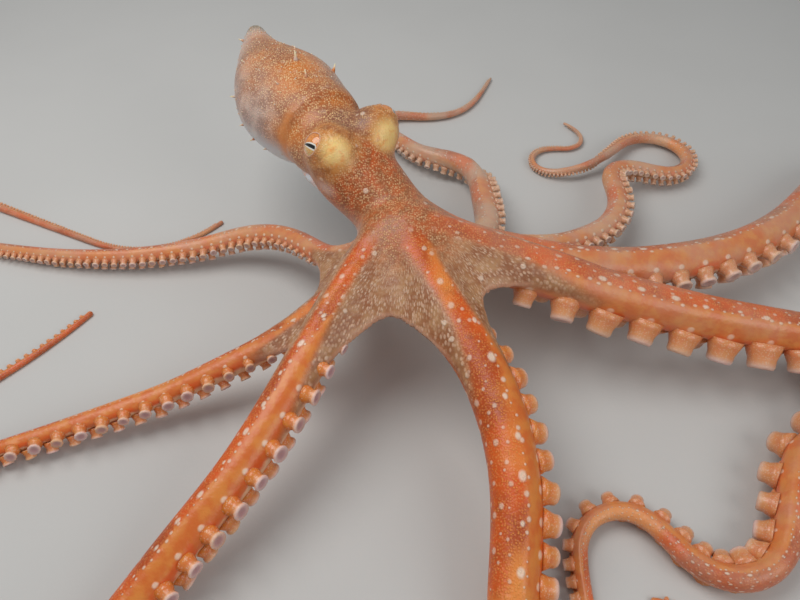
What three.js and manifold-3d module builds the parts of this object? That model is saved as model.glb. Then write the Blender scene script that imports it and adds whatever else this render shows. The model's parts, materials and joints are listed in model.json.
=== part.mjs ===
// A white-spotted octopus at life size, creeping over a floor with its eight arms spread.
// Millimetres, +Z up. The arms rest on the floor plane; mantle, head and arm crown stand above it.
// Bodies are lofts of closed sections along an axis; manifold-3d joins and cuts them.
import * as THREE from "three";
import { mergeVertices } from "three/addons/utils/BufferGeometryUtils.js";
import Module from "manifold-3d";

const wasm = await Module();
wasm.setup();

// ---- Driving sizes ------------------------------------------------------------------------

const GAP = 0.3; // between neighbouring pieces of one animal
const CROWN_REACH = 56; // along each arm, how much of it belongs to the arm crown
const EYE_RADIUS = 7;
const EYE_SUNK = 0.75; // how much of an eye's radius lies inside its swelling
const FLOOR_BLOCK = [900, 60]; // plan size and depth of the block that levels what rests on the floor

// An arm's course, in millimetres.
const BEND_EASE = 10; // plan bends are eased over this distance at each end
const LIFT_EASE = 8; // so are the corners of the lift and roll tables
const FRAME_STEP = 2; // an arm's direction is read between points this far to each side
const REST_HEIGHT = 0.85; // axis height over the floor of a resting arm, in arm radii

// Spacing of an arm's rings.
const MOST_TURN = 27; // degrees that an arm's axis turns between two of its rings
const LEAST_TURN = 0.05; // degrees a millimetre, under which a course counts as straight
const LEAST_STEP = 4.5; // the closest that two rings come
const STRAIGHT_STEP = [8, 1.2]; // the step on a straight course: a length, and a share of the radius
const LOOK = [2, 6]; // the bend at a ring is read from this far behind it to this far ahead

// Suckers. Their outline along a row is a wave, held between a valley and a flat end.
const SUCKER_MIDDLE = 0.55; // the wave's middle, in sucker heights
const SUCKER_SWING = 0.75; // the wave's half height
const SUCKER_VALLEY = 0.12;
const RIDGE_HEIGHT = 0.6; // of the ridges that stand for small suckers, in arm radii

// Webs.
const WEB_THICKNESS = 1.6;
const WEB_RISE = [8, 3]; // above the arms' axes, at the crown and at the free edge
const WEB_SAG = 0.12; // of a web's width, at the middle of its free edge
const WEB_START = 0.15; // share of the reach at which a web leaves the crown
const WEB_PANELS = [4, 2]; // across and along

// Names of the lengths that an arm is divided into, from the crown outwards.
const LENGTHS = ["upper", "middle", "lower", "outer", "tip"];

// The arms. Each one's axis is drawn in plan: it leaves `start` at `heading` degrees from +X and
// follows `bends`, a list of [length, turn], where a turn is in degrees and positive to the left.
// `radius` is [base, tip, fullness, taper]. `lift` is [distance, height over a resting arm].
// `roll` is [distance, degrees], the turn of the sucker side from straight down towards the
// arm's right-hand side. `cuts` are the distances at which one length ends and the next begins.
// `suckers` is [spacing in a row, height] in an arm's first two lengths; past them, and on arms
// without it, each row is a low ridge.
const ARMS = {
  arm_right_1: {
    start: [0, -17], heading: -61, radius: [10.7, 1.2, 1.6, 1.4],
    bends: [[60, 0], [75, -36], [25, 0], [60, 40], [90, 55], [100, 45], [80, 20], [50, -50], [50, -80],
      [45, -110]],
    lift: [[0, 53], [60, 40], [114, 26], [154, 11.5], [210, 0]],
    roll: [[0, 0], [30, -12], [70, -48], [230, -50], [310, 0], [635, 0]],
    suckers: [10.4, 5.8],
    cuts: [130, 215, 350, 490],
  },
  arm_right_2: {
    start: [-7, -16], heading: -126, radius: [9.4, 1.2, 1.6, 1.4],
    bends: [[45, 10], [45, -2], [50, -12], [30, 4], [45, 5], [60, -10], [60, -45], [60, -65], [50, -65],
      [45, -75], [40, -60], [40, -60]],
    lift: [[0, 53], [50, 39], [85, 30], [125, 19], [170, 6], [205, 0]],
    roll: [[0, 0], [30, -15], [65, -70], [205, -70], [570, -55]],
    suckers: [12, 4.8],
    cuts: [125, 210, 330, 450],
  },
  arm_right_3: {
    start: [-8, -19], heading: -131, radius: [7.5, 1.4, 1, 1.5],
    bends: [[50, -27], [90, -3], [50, 0], [40, 25], [40, -178], [65, 0], [50, 12]],
    lift: [[0, 50], [35, 34], [65, 21], [110, 10], [160, 5.5], [185, 4], [230, 0]],
    roll: [[0, 0], [35, -20], [70, -75], [200, -75], [385, -50]],
    suckers: [9.6, 3.8],
    cuts: [120, 195, 250, 320],
  },
  arm_right_4: {
    start: [-10, -11], heading: -175, radius: [6.5, 1.2, 1, 1.6],
    bends: [[25, -50], [25, -5], [50, 62], [50, -10], [60, -15], [40, 0], [20, -20], [45, -172], [85, 0],
      [40, 45], [35, 35]],
    lift: [[0, 45], [27, 27], [50, 22], [66, 18], [82, 14], [96, 10], [113, 7], [141, 5], [198, 3], [260, 0]],
    roll: [[0, 0], [40, -60], [475, -60]],
    cuts: [130, 235, 300, 385],
  },
  arm_left_1: {
    start: [7, -15], heading: -15, radius: [11.3, 1.2, 1.6, 1.4],
    bends: [[80, 4], [100, 8], [20, -10], [20, -70], [22, -75], [30, 0], [20, 45], [33, 0], [50, -130],
      [10, 0], [46, 155], [30, 0], [30, 90], [30, 90], [20, 100]],
    lift: [[0, 53], [50, 43], [86, 35], [133, 26.5], [180, 20.5], [215, 13], [250, 8], [305, 8], [350, 5],
      [400, 4], [460, 1], [500, 0]],
    roll: [[0, 0], [40, 15], [70, 22], [180, 25], [300, 45], [545, 60]],
    suckers: [18, 8.6],
    cuts: [135, 220, 330, 435],
  },
  arm_left_2: {
    start: [5, -5], heading: -2, radius: [11, 1.2, 1.6, 1.3],
    bends: [[80, 2], [80, 22], [60, 24], [40, 5], [80, -70], [60, -50], [50, -50], [50, -55], [40, -80],
      [40, -90]],
    lift: [[0, 48], [33, 33], [72, 24], [111, 20], [153, 18], [202, 16], [234, 14], [290, 8], [340, 0]],
    roll: [[0, 0], [40, 25], [80, 55], [240, 65], [580, 55]],
    suckers: [13, 5.8],
    cuts: [140, 240, 350, 460],
  },
  arm_left_3: {
    start: [5, 7], heading: 4, radius: [8, 0.8, 1, 1.15],
    bends: [[35, 0], [70, 30], [50, 72], [25, -110], [20, 0], [82, 235], [20, 0], [25, -45], [10, 0],
      [50, -220], [15, 110], [25, 75]],
    lift: [[0, 41], [45, 23], [80, 14.5], [114, 12.5], [144, 13], [165, 12], [184, 9], [203, 5], [225, 3],
      [265, 2.5], [285, 5], [308, 8.5], [325, 6], [345, 2], [360, 1], [427, 1.5]],
    roll: [[0, 0], [40, 20], [80, 75], [300, 75], [345, -75], [427, -75]],
    cuts: [125, 190, 260, 335],
  },
  arm_left_4: {
    start: [2, 10], heading: 0, radius: [7.5, 0.8, 1.6, 1.3],
    bends: [[18, 0], [42, 90], [45, 5], [28, 64], [13, 0], [12, -38], [32, 12], [26, -144], [12, 8],
      [16, 14], [24, 44], [14, 10], [26, 4]],
    lift: [[0, 39], [18, 29], [34, 21.5], [54, 16], [74, 12], [107, 9], [147, 7], [180, 4], [205, 2],
      [225, 1], [308, 1]],
    roll: [[0, 0], [35, 60], [95, 80], [150, -50], [308, -60]],
    cuts: [105, 165, 215, 260],
  },
};

// The webs between neighbouring arms, going round the crown. Each row is
// [arm, reach along it, next arm, reach along it, how far the free edge falls back].
const WEBS = [
  ["arm_right_1", 54, "arm_left_1", 54, 0.18],
  ["arm_left_1", 54, "arm_left_2", 54, 0.1],
  ["arm_left_2", 54, "arm_left_3", 54, 0.1],
  ["arm_left_3", 48, "arm_left_4", 34, 0.2],
  ["arm_right_4", 30, "arm_right_3", 50, 0.2],
  ["arm_right_3", 50, "arm_right_2", 54, 0.2],
  ["arm_right_2", 54, "arm_right_1", 54, 0.3],
];

// Sections of the body's axis, [x, y, z, half width, half height], from the crown to the mantle tip.
const NECK = [
  [9, -24, 47, 18, 12],
  [3, -12, 51.5, 19, 16.5],
  [-3, 0, 56, 17.5, 17.5],
  [-9, 8, 61, 17, 17],
];
const HEAD = [
  [-9, 8, 61, 17, 17],
  [-21, 20, 69, 19.5, 17.5],
  [-27, 28, 73, 19, 17],
  [-33, 36, 75, 18, 16],
  [-38, 43, 76, 17.5, 15.5],
];
const MANTLE = [
  [-38, 43, 76, 21, 19.5],
  [-42, 49, 75.5, 23.5, 21.5],
  [-49, 59, 74.5, 26, 23.8],
  [-57.5, 73, 74, 27.2, 25],
  [-66, 88, 75, 22.6, 21.2],
  [-73.5, 104, 77, 14.8, 14.2],
  [-78.5, 119, 79, 8.6, 8.2],
  [-81, 130, 80, 5, 4.6],
  [-81.6, 134, 80, 3, 2.6],
];
// The funnel, [x, y, z, radius outside, radius of its opening], from the mantle's edge to its mouth.
const FUNNEL = [
  [-42, 38, 62, 7, 2.6],
  [-41, 26.5, 64.5, 6.4, 2.6],
  [-35.5, 14, 65.5, 5, 2.8],
];
// The mantle's largest papillae, [share of the mantle's length, degrees from its ridge, height].
const PAPILLAE = [
  [0.32, 8, 5],
  [0.19, 4, 4],
  [0.31, 56, 4],
];
const PAPILLA_RADII = [1.5, 0.6]; // at its foot and at its tip
const PAPILLA_ROOT = 2; // how deep its foot lies in the mantle
const PAPILLA_LEAN = 0.25; // towards the mantle's tip
const PAPILLA_SIDES = 6;
// The swellings that carry the eyes, [x, y, z], their radius, and the way each eye looks out.
const EYE_SIDES = {
  eye_right: { swelling: [-31.6, 17, 83], radius: 12, looks: [-0.65, -0.41, 0.63] },
  eye_left: { swelling: [-12.5, 33.5, 82], radius: 12.2, looks: [0.6, 0.5, 0.63] },
};
// The head's side behind the right eye, where it comes out from under the mantle: [x, y, z], radius.
const CHEEK = { centre: [-42.5, 33, 73], radius: 10 };

const COLOURS = {
  skin: 0xd2691e,
  mantle: 0xc46a32,
  crown: 0xb5632f,
  funnel: 0xe0c8b0,
  eye: 0xc8a040,
};

// ---- Solids -------------------------------------------------------------------------------

const UP = new THREE.Vector3(0, 0, 1);
const vector = (p) => new THREE.Vector3(p[0], p[1], p[2]);

// A manifold solid of a three.js geometry.
function solid(geometry) {
  for (const name of ["normal", "uv"]) geometry.deleteAttribute(name);
  const merged = mergeVertices(geometry, 1e-4);
  return new wasm.Manifold(
    new wasm.Mesh({
      numProp: 3,
      vertProperties: merged.getAttribute("position").array,
      triVerts: new Uint32Array(merged.index.array),
    }),
  );
}

// A closed body through rings of points, all wound the same way, capped at both ends.
function loft(rings) {
  const count = rings[0].length;
  const points = rings.flat();
  const faces = [];
  for (let i = 0; i + 1 < rings.length; i++) {
    for (let j = 0; j < count; j++) {
      const a = i * count + j;
      const b = i * count + ((j + 1) % count);
      faces.push(a, b, b + count, a, b + count, a + count);
    }
  }
  [0, rings.length - 1].forEach((row, end) => {
    const centre = new THREE.Vector3();
    rings[row].forEach((p) => centre.addScaledVector(p, 1 / count));
    points.push(centre);
    for (let j = 0; j < count; j++) {
      const a = row * count + j;
      const b = row * count + ((j + 1) % count);
      faces.push(...(end ? [a, b, points.length - 1] : [b, a, points.length - 1]));
    }
  });
  const geometry = new THREE.BufferGeometry().setFromPoints(points).setIndex(faces);
  const made = solid(geometry);
  if (made.volume() > 0) return made;
  return solid(geometry.setIndex(faces.reverse()));
}

// The mesh of a solid, under its node's name.
function mesh(name, made, colour) {
  const { vertProperties, triVerts, numProp } = made.getMesh();
  const position = new THREE.BufferAttribute(new Float32Array(vertProperties), numProp);
  const geometry = new THREE.BufferGeometry().setAttribute("position", position);
  geometry.setIndex(new THREE.BufferAttribute(new Uint32Array(triVerts), 1));
  const material = new THREE.MeshStandardMaterial({ color: colour, roughness: 0.45, metalness: 0 });
  const made3 = new THREE.Mesh(geometry, material);
  made3.name = name;
  return made3;
}

const [floorSide, floorDepth] = FLOOR_BLOCK;
const floorBlock = solid(
  new THREE.BoxGeometry(floorSide, floorSide, floorDepth).translate(0, 0, -floorDepth / 2),
);

// ---- Arms ---------------------------------------------------------------------------------

// Straight-line reading of a table of [distance, value, ...], held at its ends.
function read(table, at) {
  if (at <= table[0][0]) return table[0][1];
  for (let i = 1; i < table.length; i++) {
    const [x0, y0] = table[i - 1];
    const [x1, y1] = table[i];
    if (at <= x1) return y0 + ((y1 - y0) * (at - x0)) / (x1 - x0);
  }
  return table[table.length - 1][1];
}

// The same, with its corners eased over `ease` to each side.
const eased = (table, at, ease) =>
  (read(table, at - ease) + 2 * read(table, at) + read(table, at + ease)) / 4;

// An arm with its length and a function giving its axis, frame and radius at a distance.
function armOf({ start, heading, bends, lift, roll, radius, ...rest }) {
  const turns = [[0, heading]];
  for (const [length, turn] of bends) {
    const [distance, before] = turns[turns.length - 1];
    turns.push([distance + length, before + turn]);
  }
  const length = turns[turns.length - 1][0];
  const plan = [new THREE.Vector2(...start)];
  for (let s = 0; s < length; s++) {
    const angle = THREE.MathUtils.degToRad(eased(turns, s + 0.5, BEND_EASE));
    const last = plan[plan.length - 1];
    plan.push(new THREE.Vector2(last.x + Math.cos(angle), last.y + Math.sin(angle)));
  }
  const [base, tip, fullness, taper] = radius;
  const radiusAt = (s) => tip + (base - tip) * Math.max(0, 1 - (s / length) ** fullness) ** taper;
  const axis = (s) => {
    const at = Math.min(Math.max(s, 0), length);
    const i = Math.min(Math.floor(at), length - 1);
    const p = plan[i].clone().lerp(plan[i + 1], at - i);
    return new THREE.Vector3(p.x, p.y, REST_HEIGHT * radiusAt(at) + eased(lift, at, LIFT_EASE));
  };
  const frame = (s) => {
    const along = axis(s + FRAME_STEP).sub(axis(s - FRAME_STEP)).normalize();
    const right = along.clone().cross(UP).normalize();
    const up = right.clone().cross(along);
    const turn = THREE.MathUtils.degToRad(eased(roll, s, LIFT_EASE));
    const side = right.clone().multiplyScalar(Math.cos(turn)).addScaledVector(up, Math.sin(turn));
    const back = up.multiplyScalar(Math.cos(turn)).addScaledVector(right, -Math.sin(turn));
    return { side, back };
  };
  return { ...rest, length, turns, axis, frame, radiusAt };
}

// A section of an arm where its suckers are modelled:
// [degrees from the middle of its back, share of the radius, row of suckers].
const SUCKERED = [
  [0, 1.03, 0],
  [52, 1.05, 0],
  [104, 1.03, 0],
  [148, 1, 1],
  [180, 0.84, 0],
  [212, 1, -1],
  [256, 1.03, 0],
  [308, 1.05, 0],
];
// A section elsewhere, where each row is a low ridge.
const RIDGE = 2;
const RIDGED = [
  [32, 1.1, 0],
  [92, 1.06, 0],
  [148, 1, RIDGE],
  [212, 1, RIDGE],
  [268, 1.06, 0],
  [328, 1.1, 0],
];

// How far the suckers stand out at a distance along the arm, in row 1 or -1, or in a ridge.
function suckerReach(arm, s, row) {
  if (row === RIDGE) return RIDGE_HEIGHT * arm.radiusAt(s);
  const [spacing, height] = arm.suckers;
  const wave = Math.cos(2 * Math.PI * (s / spacing + (row > 0 ? 0 : 0.5)));
  return height * THREE.MathUtils.clamp(SUCKER_MIDDLE + SUCKER_SWING * wave, SUCKER_VALLEY, 1);
}

function armRing(arm, s, section, extra) {
  const centre = arm.axis(s);
  const { side, back } = arm.frame(s);
  const r = arm.radiusAt(s);
  return section.map(([degrees, share, row]) => {
    const angle = THREE.MathUtils.degToRad(degrees);
    const reach = r * share + extra + (row ? suckerReach(arm, s, row) : 0);
    return centre
      .clone()
      .addScaledVector(back, reach * Math.cos(angle))
      .addScaledVector(side, reach * Math.sin(angle));
  });
}

// The distances of an arm's rings between two cuts: two to a sucker where suckers are modelled,
// elsewhere as far apart as the bend and the radius allow.
function stations(arm, from, to, suckered) {
  const list = [from];
  const [behind, ahead] = LOOK;
  const [length, share] = STRAIGHT_STEP;
  let s = from;
  for (;;) {
    const bend = Math.abs(read(arm.turns, s + ahead) - read(arm.turns, s - behind)) / (behind + ahead);
    const free = Math.min(length + share * arm.radiusAt(s), MOST_TURN / Math.max(bend, LEAST_TURN));
    s += suckered ? arm.suckers[0] / 2 : Math.max(free, LEAST_STEP);
    if (s > to - LEAST_STEP / 2) return [...list, to];
    list.push(s);
  }
}

function armLength(arm, from, to, extra = 0) {
  const suckered = Boolean(arm.suckers) && from >= CROWN_REACH && to <= arm.cuts[1];
  const section = suckered ? SUCKERED : RIDGED;
  return loft(stations(arm, from, to, suckered).map((s) => armRing(arm, s, section, extra)));
}

const arms = Object.fromEntries(
  Object.entries(ARMS).map(([name, row]) => [name, armOf(row)]),
);

// ---- Webs, head and mantle ------------------------------------------------------------------

// A thin sheet between two arms, out to a free edge that falls back between them.
function web([one, reachOne, other, reachOther, fall]) {
  const [across, along] = WEB_PANELS;
  const point = (u, v, height) => {
    const inward = 4 * u * (1 - u);
    const out = v * (1 - fall * inward);
    const a = arms[one].axis(reachOne * out);
    const b = arms[other].axis(reachOther * out);
    const sag = WEB_SAG * a.distanceTo(b) * inward * v;
    const rise = THREE.MathUtils.lerp(...WEB_RISE, v);
    return a.lerp(b, u).addScaledVector(UP, rise + height - sag);
  };
  const rings = [];
  for (let i = 0; i <= across; i++) {
    const u = i / across;
    const top = [];
    const under = [];
    for (let j = 0; j <= along; j++) {
      const v = WEB_START + ((1 - WEB_START) * j) / along;
      top.push(point(u, v, WEB_THICKNESS / 2));
      under.unshift(point(u, v, -WEB_THICKNESS / 2));
    }
    rings.push([...top, ...under]);
  }
  return loft(rings);
}

// Elliptical sections square to a bent axis.
function bodyRings(rows, sides, extra = 0) {
  const centres = rows.map(vector);
  return rows.map(([, , , wide, high], i) => {
    const before = centres[Math.max(i - 1, 0)];
    const after = centres[Math.min(i + 1, rows.length - 1)];
    const along = after.clone().sub(before).normalize();
    const right = along.clone().cross(UP).normalize();
    const up = right.clone().cross(along);
    return Array.from({ length: sides }, (_, j) => {
      const angle = (2 * Math.PI * j) / sides;
      return centres[i]
        .clone()
        .addScaledVector(right, (wide + extra) * Math.cos(angle))
        .addScaledVector(up, (high + extra) * Math.sin(angle));
    });
  });
}

// A papilla of the mantle, as a blunt cone.
function papilla([share, degrees, height]) {
  const at = share * (MANTLE.length - 1);
  const row = Math.floor(at);
  const [before, after] = [MANTLE[row], MANTLE[row + 1]];
  const [x, y, z, wide, high] = before.map((value, k) => value + (after[k] - value) * (at - row));
  const along = vector(after).sub(vector(before)).normalize();
  const right = along.clone().cross(UP).normalize();
  const up = right.clone().cross(along);
  const turn = THREE.MathUtils.degToRad(degrees);
  const foot = new THREE.Vector3(x, y, z)
    .addScaledVector(right, wide * Math.sin(turn))
    .addScaledVector(up, high * Math.cos(turn));
  const out = right
    .clone()
    .multiplyScalar(Math.sin(turn) / wide)
    .addScaledVector(up, Math.cos(turn) / high)
    .normalize()
    .addScaledVector(along, PAPILLA_LEAN)
    .normalize();
  const across = out.clone().cross(along).normalize();
  const onwards = across.clone().cross(out);
  const rings = [-PAPILLA_ROOT, height].map((rise, end) =>
    Array.from({ length: PAPILLA_SIDES }, (_, j) => {
      const angle = (2 * Math.PI * j) / PAPILLA_SIDES;
      return foot
        .clone()
        .addScaledVector(out, rise)
        .addScaledVector(across, PAPILLA_RADII[end] * Math.cos(angle))
        .addScaledVector(onwards, PAPILLA_RADII[end] * Math.sin(angle));
    }),
  );
  return loft(rings);
}

const BALL_SIDES = [12, 7];
const ball = (centre, radius) =>
  solid(new THREE.SphereGeometry(radius, ...BALL_SIDES).translate(...centre));

const eyeCentre = ({ swelling, radius, looks }) => {
  const out = radius - EYE_SUNK * EYE_RADIUS;
  return vector(swelling).addScaledVector(vector(looks).normalize(), out).toArray();
};

function headSolid(extra) {
  let made = loft(bodyRings(HEAD, 16, extra));
  for (const { swelling, radius } of Object.values(EYE_SIDES)) {
    made = made.add(ball(swelling, radius + extra));
  }
  return made.add(ball(CHEEK.centre, CHEEK.radius + extra));
}

// ---- The animal -----------------------------------------------------------------------------

const octopus = new THREE.Group();
const head = headSolid(0);
const headRoom = headSolid(GAP);
let mantle = loft(bodyRings(MANTLE, 20));
for (const row of PAPILLAE) mantle = mantle.add(papilla(row));
const mantleRoom = loft(bodyRings(MANTLE, 20, GAP));

let crown = loft(bodyRings(NECK, 16));
for (const arm of Object.values(arms)) crown = crown.add(armLength(arm, 0, CROWN_REACH - GAP));
for (const row of WEBS) crown = crown.add(web(row));
for (const arm of Object.values(arms)) {
  crown = crown.subtract(armLength(arm, CROWN_REACH - GAP, 2 * CROWN_REACH, GAP));
}

let headCut = head.subtract(mantleRoom);
for (const [name, side] of Object.entries(EYE_SIDES)) {
  headCut = headCut.subtract(ball(eyeCentre(side), EYE_RADIUS + GAP));
  octopus.add(mesh(name, ball(eyeCentre(side), EYE_RADIUS), COLOURS.eye));
}
octopus.add(mesh("mantle", mantle, COLOURS.mantle));
octopus.add(mesh("head", headCut, COLOURS.skin));
octopus.add(mesh("crown", crown.subtract(headRoom), COLOURS.crown));

const funnelRings = (column) =>
  bodyRings(FUNNEL.map((row) => [row[0], row[1], row[2], row[column], row[column]]), 12);
const [lastOuter] = funnelRings(3).slice(-1);
const mouthStep = vector(FUNNEL[2]).sub(vector(FUNNEL[1])).normalize();
const bore = funnelRings(4).slice(1);
bore[1].forEach((p) => p.add(mouthStep));
const funnel = loft([...funnelRings(3).slice(0, 2), lastOuter])
  .subtract(loft(bore))
  .subtract(headRoom)
  .subtract(mantleRoom);
octopus.add(mesh("funnel", funnel, COLOURS.funnel));

for (const [name, arm] of Object.entries(arms)) {
  const ends = [CROWN_REACH, ...arm.cuts, arm.length];
  LENGTHS.forEach((part, i) => {
    const last = i === LENGTHS.length - 1;
    const made = armLength(arm, ends[i], ends[i + 1] - (last ? 0 : GAP));
    octopus.add(mesh(`${name}_${part}`, made.subtract(floorBlock), COLOURS.skin));
  });
}

// The part's origin is on the floor, under the middle of its bounding box.
const box = new THREE.Box3().setFromObject(octopus);
const middle = box.getCenter(new THREE.Vector3());
octopus.position.set(-middle.x, -middle.y, 0);

export default octopus;
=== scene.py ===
"""A white-spotted octopus at life size, creeping over a floor with its eight arms spread.

Everything is worked out in millimetres in the animal's own frame, whose origin is on the floor under
the arm crown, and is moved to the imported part's frame, in metres, when a mesh is made.
"""

import json
import math

import bmesh
import bpy
import numpy as np
from mathutils import Matrix, Vector

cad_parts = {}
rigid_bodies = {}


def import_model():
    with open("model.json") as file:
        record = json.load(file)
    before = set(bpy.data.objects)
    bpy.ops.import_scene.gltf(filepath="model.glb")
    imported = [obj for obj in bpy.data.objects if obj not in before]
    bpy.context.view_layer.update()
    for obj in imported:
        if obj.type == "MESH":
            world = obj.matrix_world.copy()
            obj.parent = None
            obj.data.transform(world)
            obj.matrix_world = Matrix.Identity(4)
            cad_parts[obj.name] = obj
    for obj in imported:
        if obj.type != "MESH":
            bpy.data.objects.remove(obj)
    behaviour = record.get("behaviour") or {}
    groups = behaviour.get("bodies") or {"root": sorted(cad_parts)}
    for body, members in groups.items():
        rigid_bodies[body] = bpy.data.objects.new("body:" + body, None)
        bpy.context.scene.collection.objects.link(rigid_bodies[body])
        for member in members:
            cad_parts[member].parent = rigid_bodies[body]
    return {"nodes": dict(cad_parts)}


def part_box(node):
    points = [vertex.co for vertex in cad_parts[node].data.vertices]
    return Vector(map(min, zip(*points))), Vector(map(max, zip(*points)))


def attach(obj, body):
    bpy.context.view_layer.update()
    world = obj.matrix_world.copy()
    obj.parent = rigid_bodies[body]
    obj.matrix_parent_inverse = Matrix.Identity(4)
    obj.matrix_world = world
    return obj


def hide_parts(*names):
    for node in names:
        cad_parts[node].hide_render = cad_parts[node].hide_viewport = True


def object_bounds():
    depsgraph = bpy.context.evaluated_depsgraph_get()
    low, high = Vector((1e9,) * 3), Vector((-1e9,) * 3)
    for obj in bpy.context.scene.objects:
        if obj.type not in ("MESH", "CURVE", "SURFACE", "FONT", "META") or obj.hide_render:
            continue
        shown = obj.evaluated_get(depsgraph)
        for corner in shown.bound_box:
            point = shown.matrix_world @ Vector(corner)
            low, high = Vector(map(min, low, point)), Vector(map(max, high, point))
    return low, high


bl_info = {
    "name": "White-spotted octopus",
    "version": (1, 0, 0),
    "blender": (4, 5, 0),
    "location": "View3D > Sidebar > Octopus",
    "description": "A still, life-size white-spotted octopus, built around its packed solids",
    "category": "Add Mesh",
}

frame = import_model()
CAD_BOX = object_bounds()

# ---- The animal's measures, in millimetres and degrees

MM = 0.001
BEND_EASE = 10  # plan bends are eased over this distance at each end
LIFT_EASE = 8  # so are the corners of the lift and roll tables
REST_HEIGHT = 0.85  # axis height over the floor of a resting arm, in arm radii
EYE_RADIUS = 7
EYE_SUNK = 0.75  # how much of an eye's radius lies inside its swelling
THICK_FROM = 9  # base radius from which an arm counts as thick
ARM_STEP = 0.25  # step along an arm at which its suckers are counted

# Each arm's axis is drawn in plan: it leaves `start` at `heading` from +X and follows `bends`,
# (length, turn to the left). `radius` is (base, tip, fullness, taper). `lift` is (distance, height
# over a resting arm). `roll` turns the sucker side from straight down to the arm's right.
# `suckers` is (spacing in a row, diameter, height, distance from which they shrink with the arm), and
# `stout` ones have stalks nearly as wide as their rims.
# `join` is where the arm's own sweep leaves the crown. `wash` is how far its colour has faded, and
# `band` how many degrees its granular back reaches down to each side.
ARMS = {
    "arm_right_1": dict(
        start=(0, -17), heading=-61, radius=(10.7, 1.2, 1.6, 1.4),
        bends=[(60, 0), (75, -36), (25, 0), (60, 40), (90, 55), (100, 45), (80, 20), (50, -50),
               (50, -80), (45, -110)],
        lift=[(0, 53), (60, 40), (114, 26), (154, 11.5), (210, 0)],
        roll=[(0, 0), (30, -12), (70, -48), (230, -50), (310, 0), (635, 0)],
        suckers=(10.4, 9, 5.8, 215), stout=True, join=100, wash=0.0, band=66),
    "arm_right_2": dict(
        start=(-7, -16), heading=-126, radius=(9.4, 1.2, 1.6, 1.4),
        bends=[(45, 10), (45, -2), (50, -12), (30, 4), (45, 5), (60, -10), (60, -45), (60, -65),
               (50, -65), (45, -75), (40, -60), (40, -60)],
        lift=[(0, 53), (50, 39), (85, 30), (125, 19), (170, 6), (205, 0)],
        roll=[(0, 0), (30, -15), (65, -70), (205, -70), (570, -55)],
        suckers=(12, 7.6, 4.8, 210), stout=False, join=112, wash=0.0, band=58),
    "arm_right_3": dict(
        start=(-8, -19), heading=-131, radius=(7.5, 1.4, 1, 1.5),
        bends=[(50, -27), (90, -3), (50, 0), (40, 25), (40, -178), (65, 0), (50, 12)],
        lift=[(0, 50), (35, 34), (65, 21), (110, 10), (160, 5.5), (185, 4), (230, 0)],
        roll=[(0, 0), (35, -20), (70, -75), (200, -75), (385, -50)],
        suckers=(9.6, 5.9, 3.8, 195), stout=False, join=105, wash=0.05, band=52),
    "arm_right_4": dict(
        start=(-10, -11), heading=-175, radius=(6.5, 1.2, 1, 1.6),
        bends=[(25, -50), (25, -5), (50, 62), (50, -10), (60, -15), (40, 0), (20, -20), (45, -172),
               (85, 0), (40, 45), (35, 35)],
        lift=[(0, 45), (27, 27), (50, 22), (66, 18), (82, 14), (96, 10), (113, 7), (141, 5),
              (198, 3), (260, 0)],
        roll=[(0, 0), (40, -60), (475, -60)],
        suckers=(5.4, 4.2, 3.2, 130), stout=False, join=62, wash=0.3, band=60),
    "arm_left_1": dict(
        start=(7, -15), heading=-15, radius=(11.3, 1.2, 1.6, 1.4),
        bends=[(80, 4), (100, 8), (20, -10), (20, -70), (22, -75), (30, 0), (20, 45), (33, 0),
               (50, -130), (10, 0), (46, 155), (30, 0), (30, 90), (30, 90), (20, 100)],
        lift=[(0, 53), (50, 43), (86, 35), (133, 26.5), (180, 20.5), (215, 13), (250, 8), (305, 8),
              (350, 5), (400, 4), (460, 1), (500, 0)],
        roll=[(0, 0), (40, 15), (70, 22), (180, 25), (300, 45), (545, 60)],
        suckers=(18, 12.5, 8.6, 220), stout=True, join=100, wash=0.2, band=48),
    "arm_left_2": dict(
        start=(5, -5), heading=-2, radius=(11, 1.2, 1.6, 1.3),
        bends=[(80, 2), (80, 22), (60, 24), (40, 5), (80, -70), (60, -50), (50, -50), (50, -55),
               (40, -80), (40, -90)],
        lift=[(0, 48), (33, 33), (72, 24), (111, 20), (153, 18), (202, 16), (234, 14), (290, 8),
              (340, 0)],
        roll=[(0, 0), (40, 25), (80, 55), (240, 65), (580, 55)],
        suckers=(13, 9, 5.8, 240), stout=False, join=100, wash=0.32, band=50),
    "arm_left_3": dict(
        start=(5, 7), heading=4, radius=(8, 0.8, 1, 1.15),
        bends=[(35, 0), (70, 30), (50, 72), (25, -110), (20, 0), (82, 235), (20, 0), (25, -45),
               (10, 0), (50, -220), (15, 110), (25, 75)],
        lift=[(0, 41), (45, 23), (80, 14.5), (114, 12.5), (144, 13), (165, 12), (184, 9), (203, 5),
              (225, 3), (265, 2.5), (285, 5), (308, 8.5), (325, 6), (345, 2), (360, 1), (427, 1.5)],
        roll=[(0, 0), (40, 20), (80, 75), (300, 75), (345, -75), (427, -75)],
        suckers=(5.8, 4.6, 3.5, 125), stout=False, join=76, wash=0.5, band=60),
    "arm_left_4": dict(
        start=(2, 10), heading=0, radius=(7.5, 0.8, 1.6, 1.3),
        bends=[(18, 0), (42, 90), (45, 5), (28, 64), (13, 0), (12, -38), (32, 12), (26, -144),
               (12, 8), (16, 14), (24, 44), (14, 10), (26, 4)],
        lift=[(0, 39), (18, 29), (34, 21.5), (54, 16), (74, 12), (107, 9), (147, 7), (180, 4),
              (205, 2), (225, 1), (308, 1)],
        roll=[(0, 0), (35, 60), (95, 80), (150, -50), (308, -60)],
        suckers=(6, 4.8, 3.6, 105), stout=False, join=58, wash=0.6, band=52),
}

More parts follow.
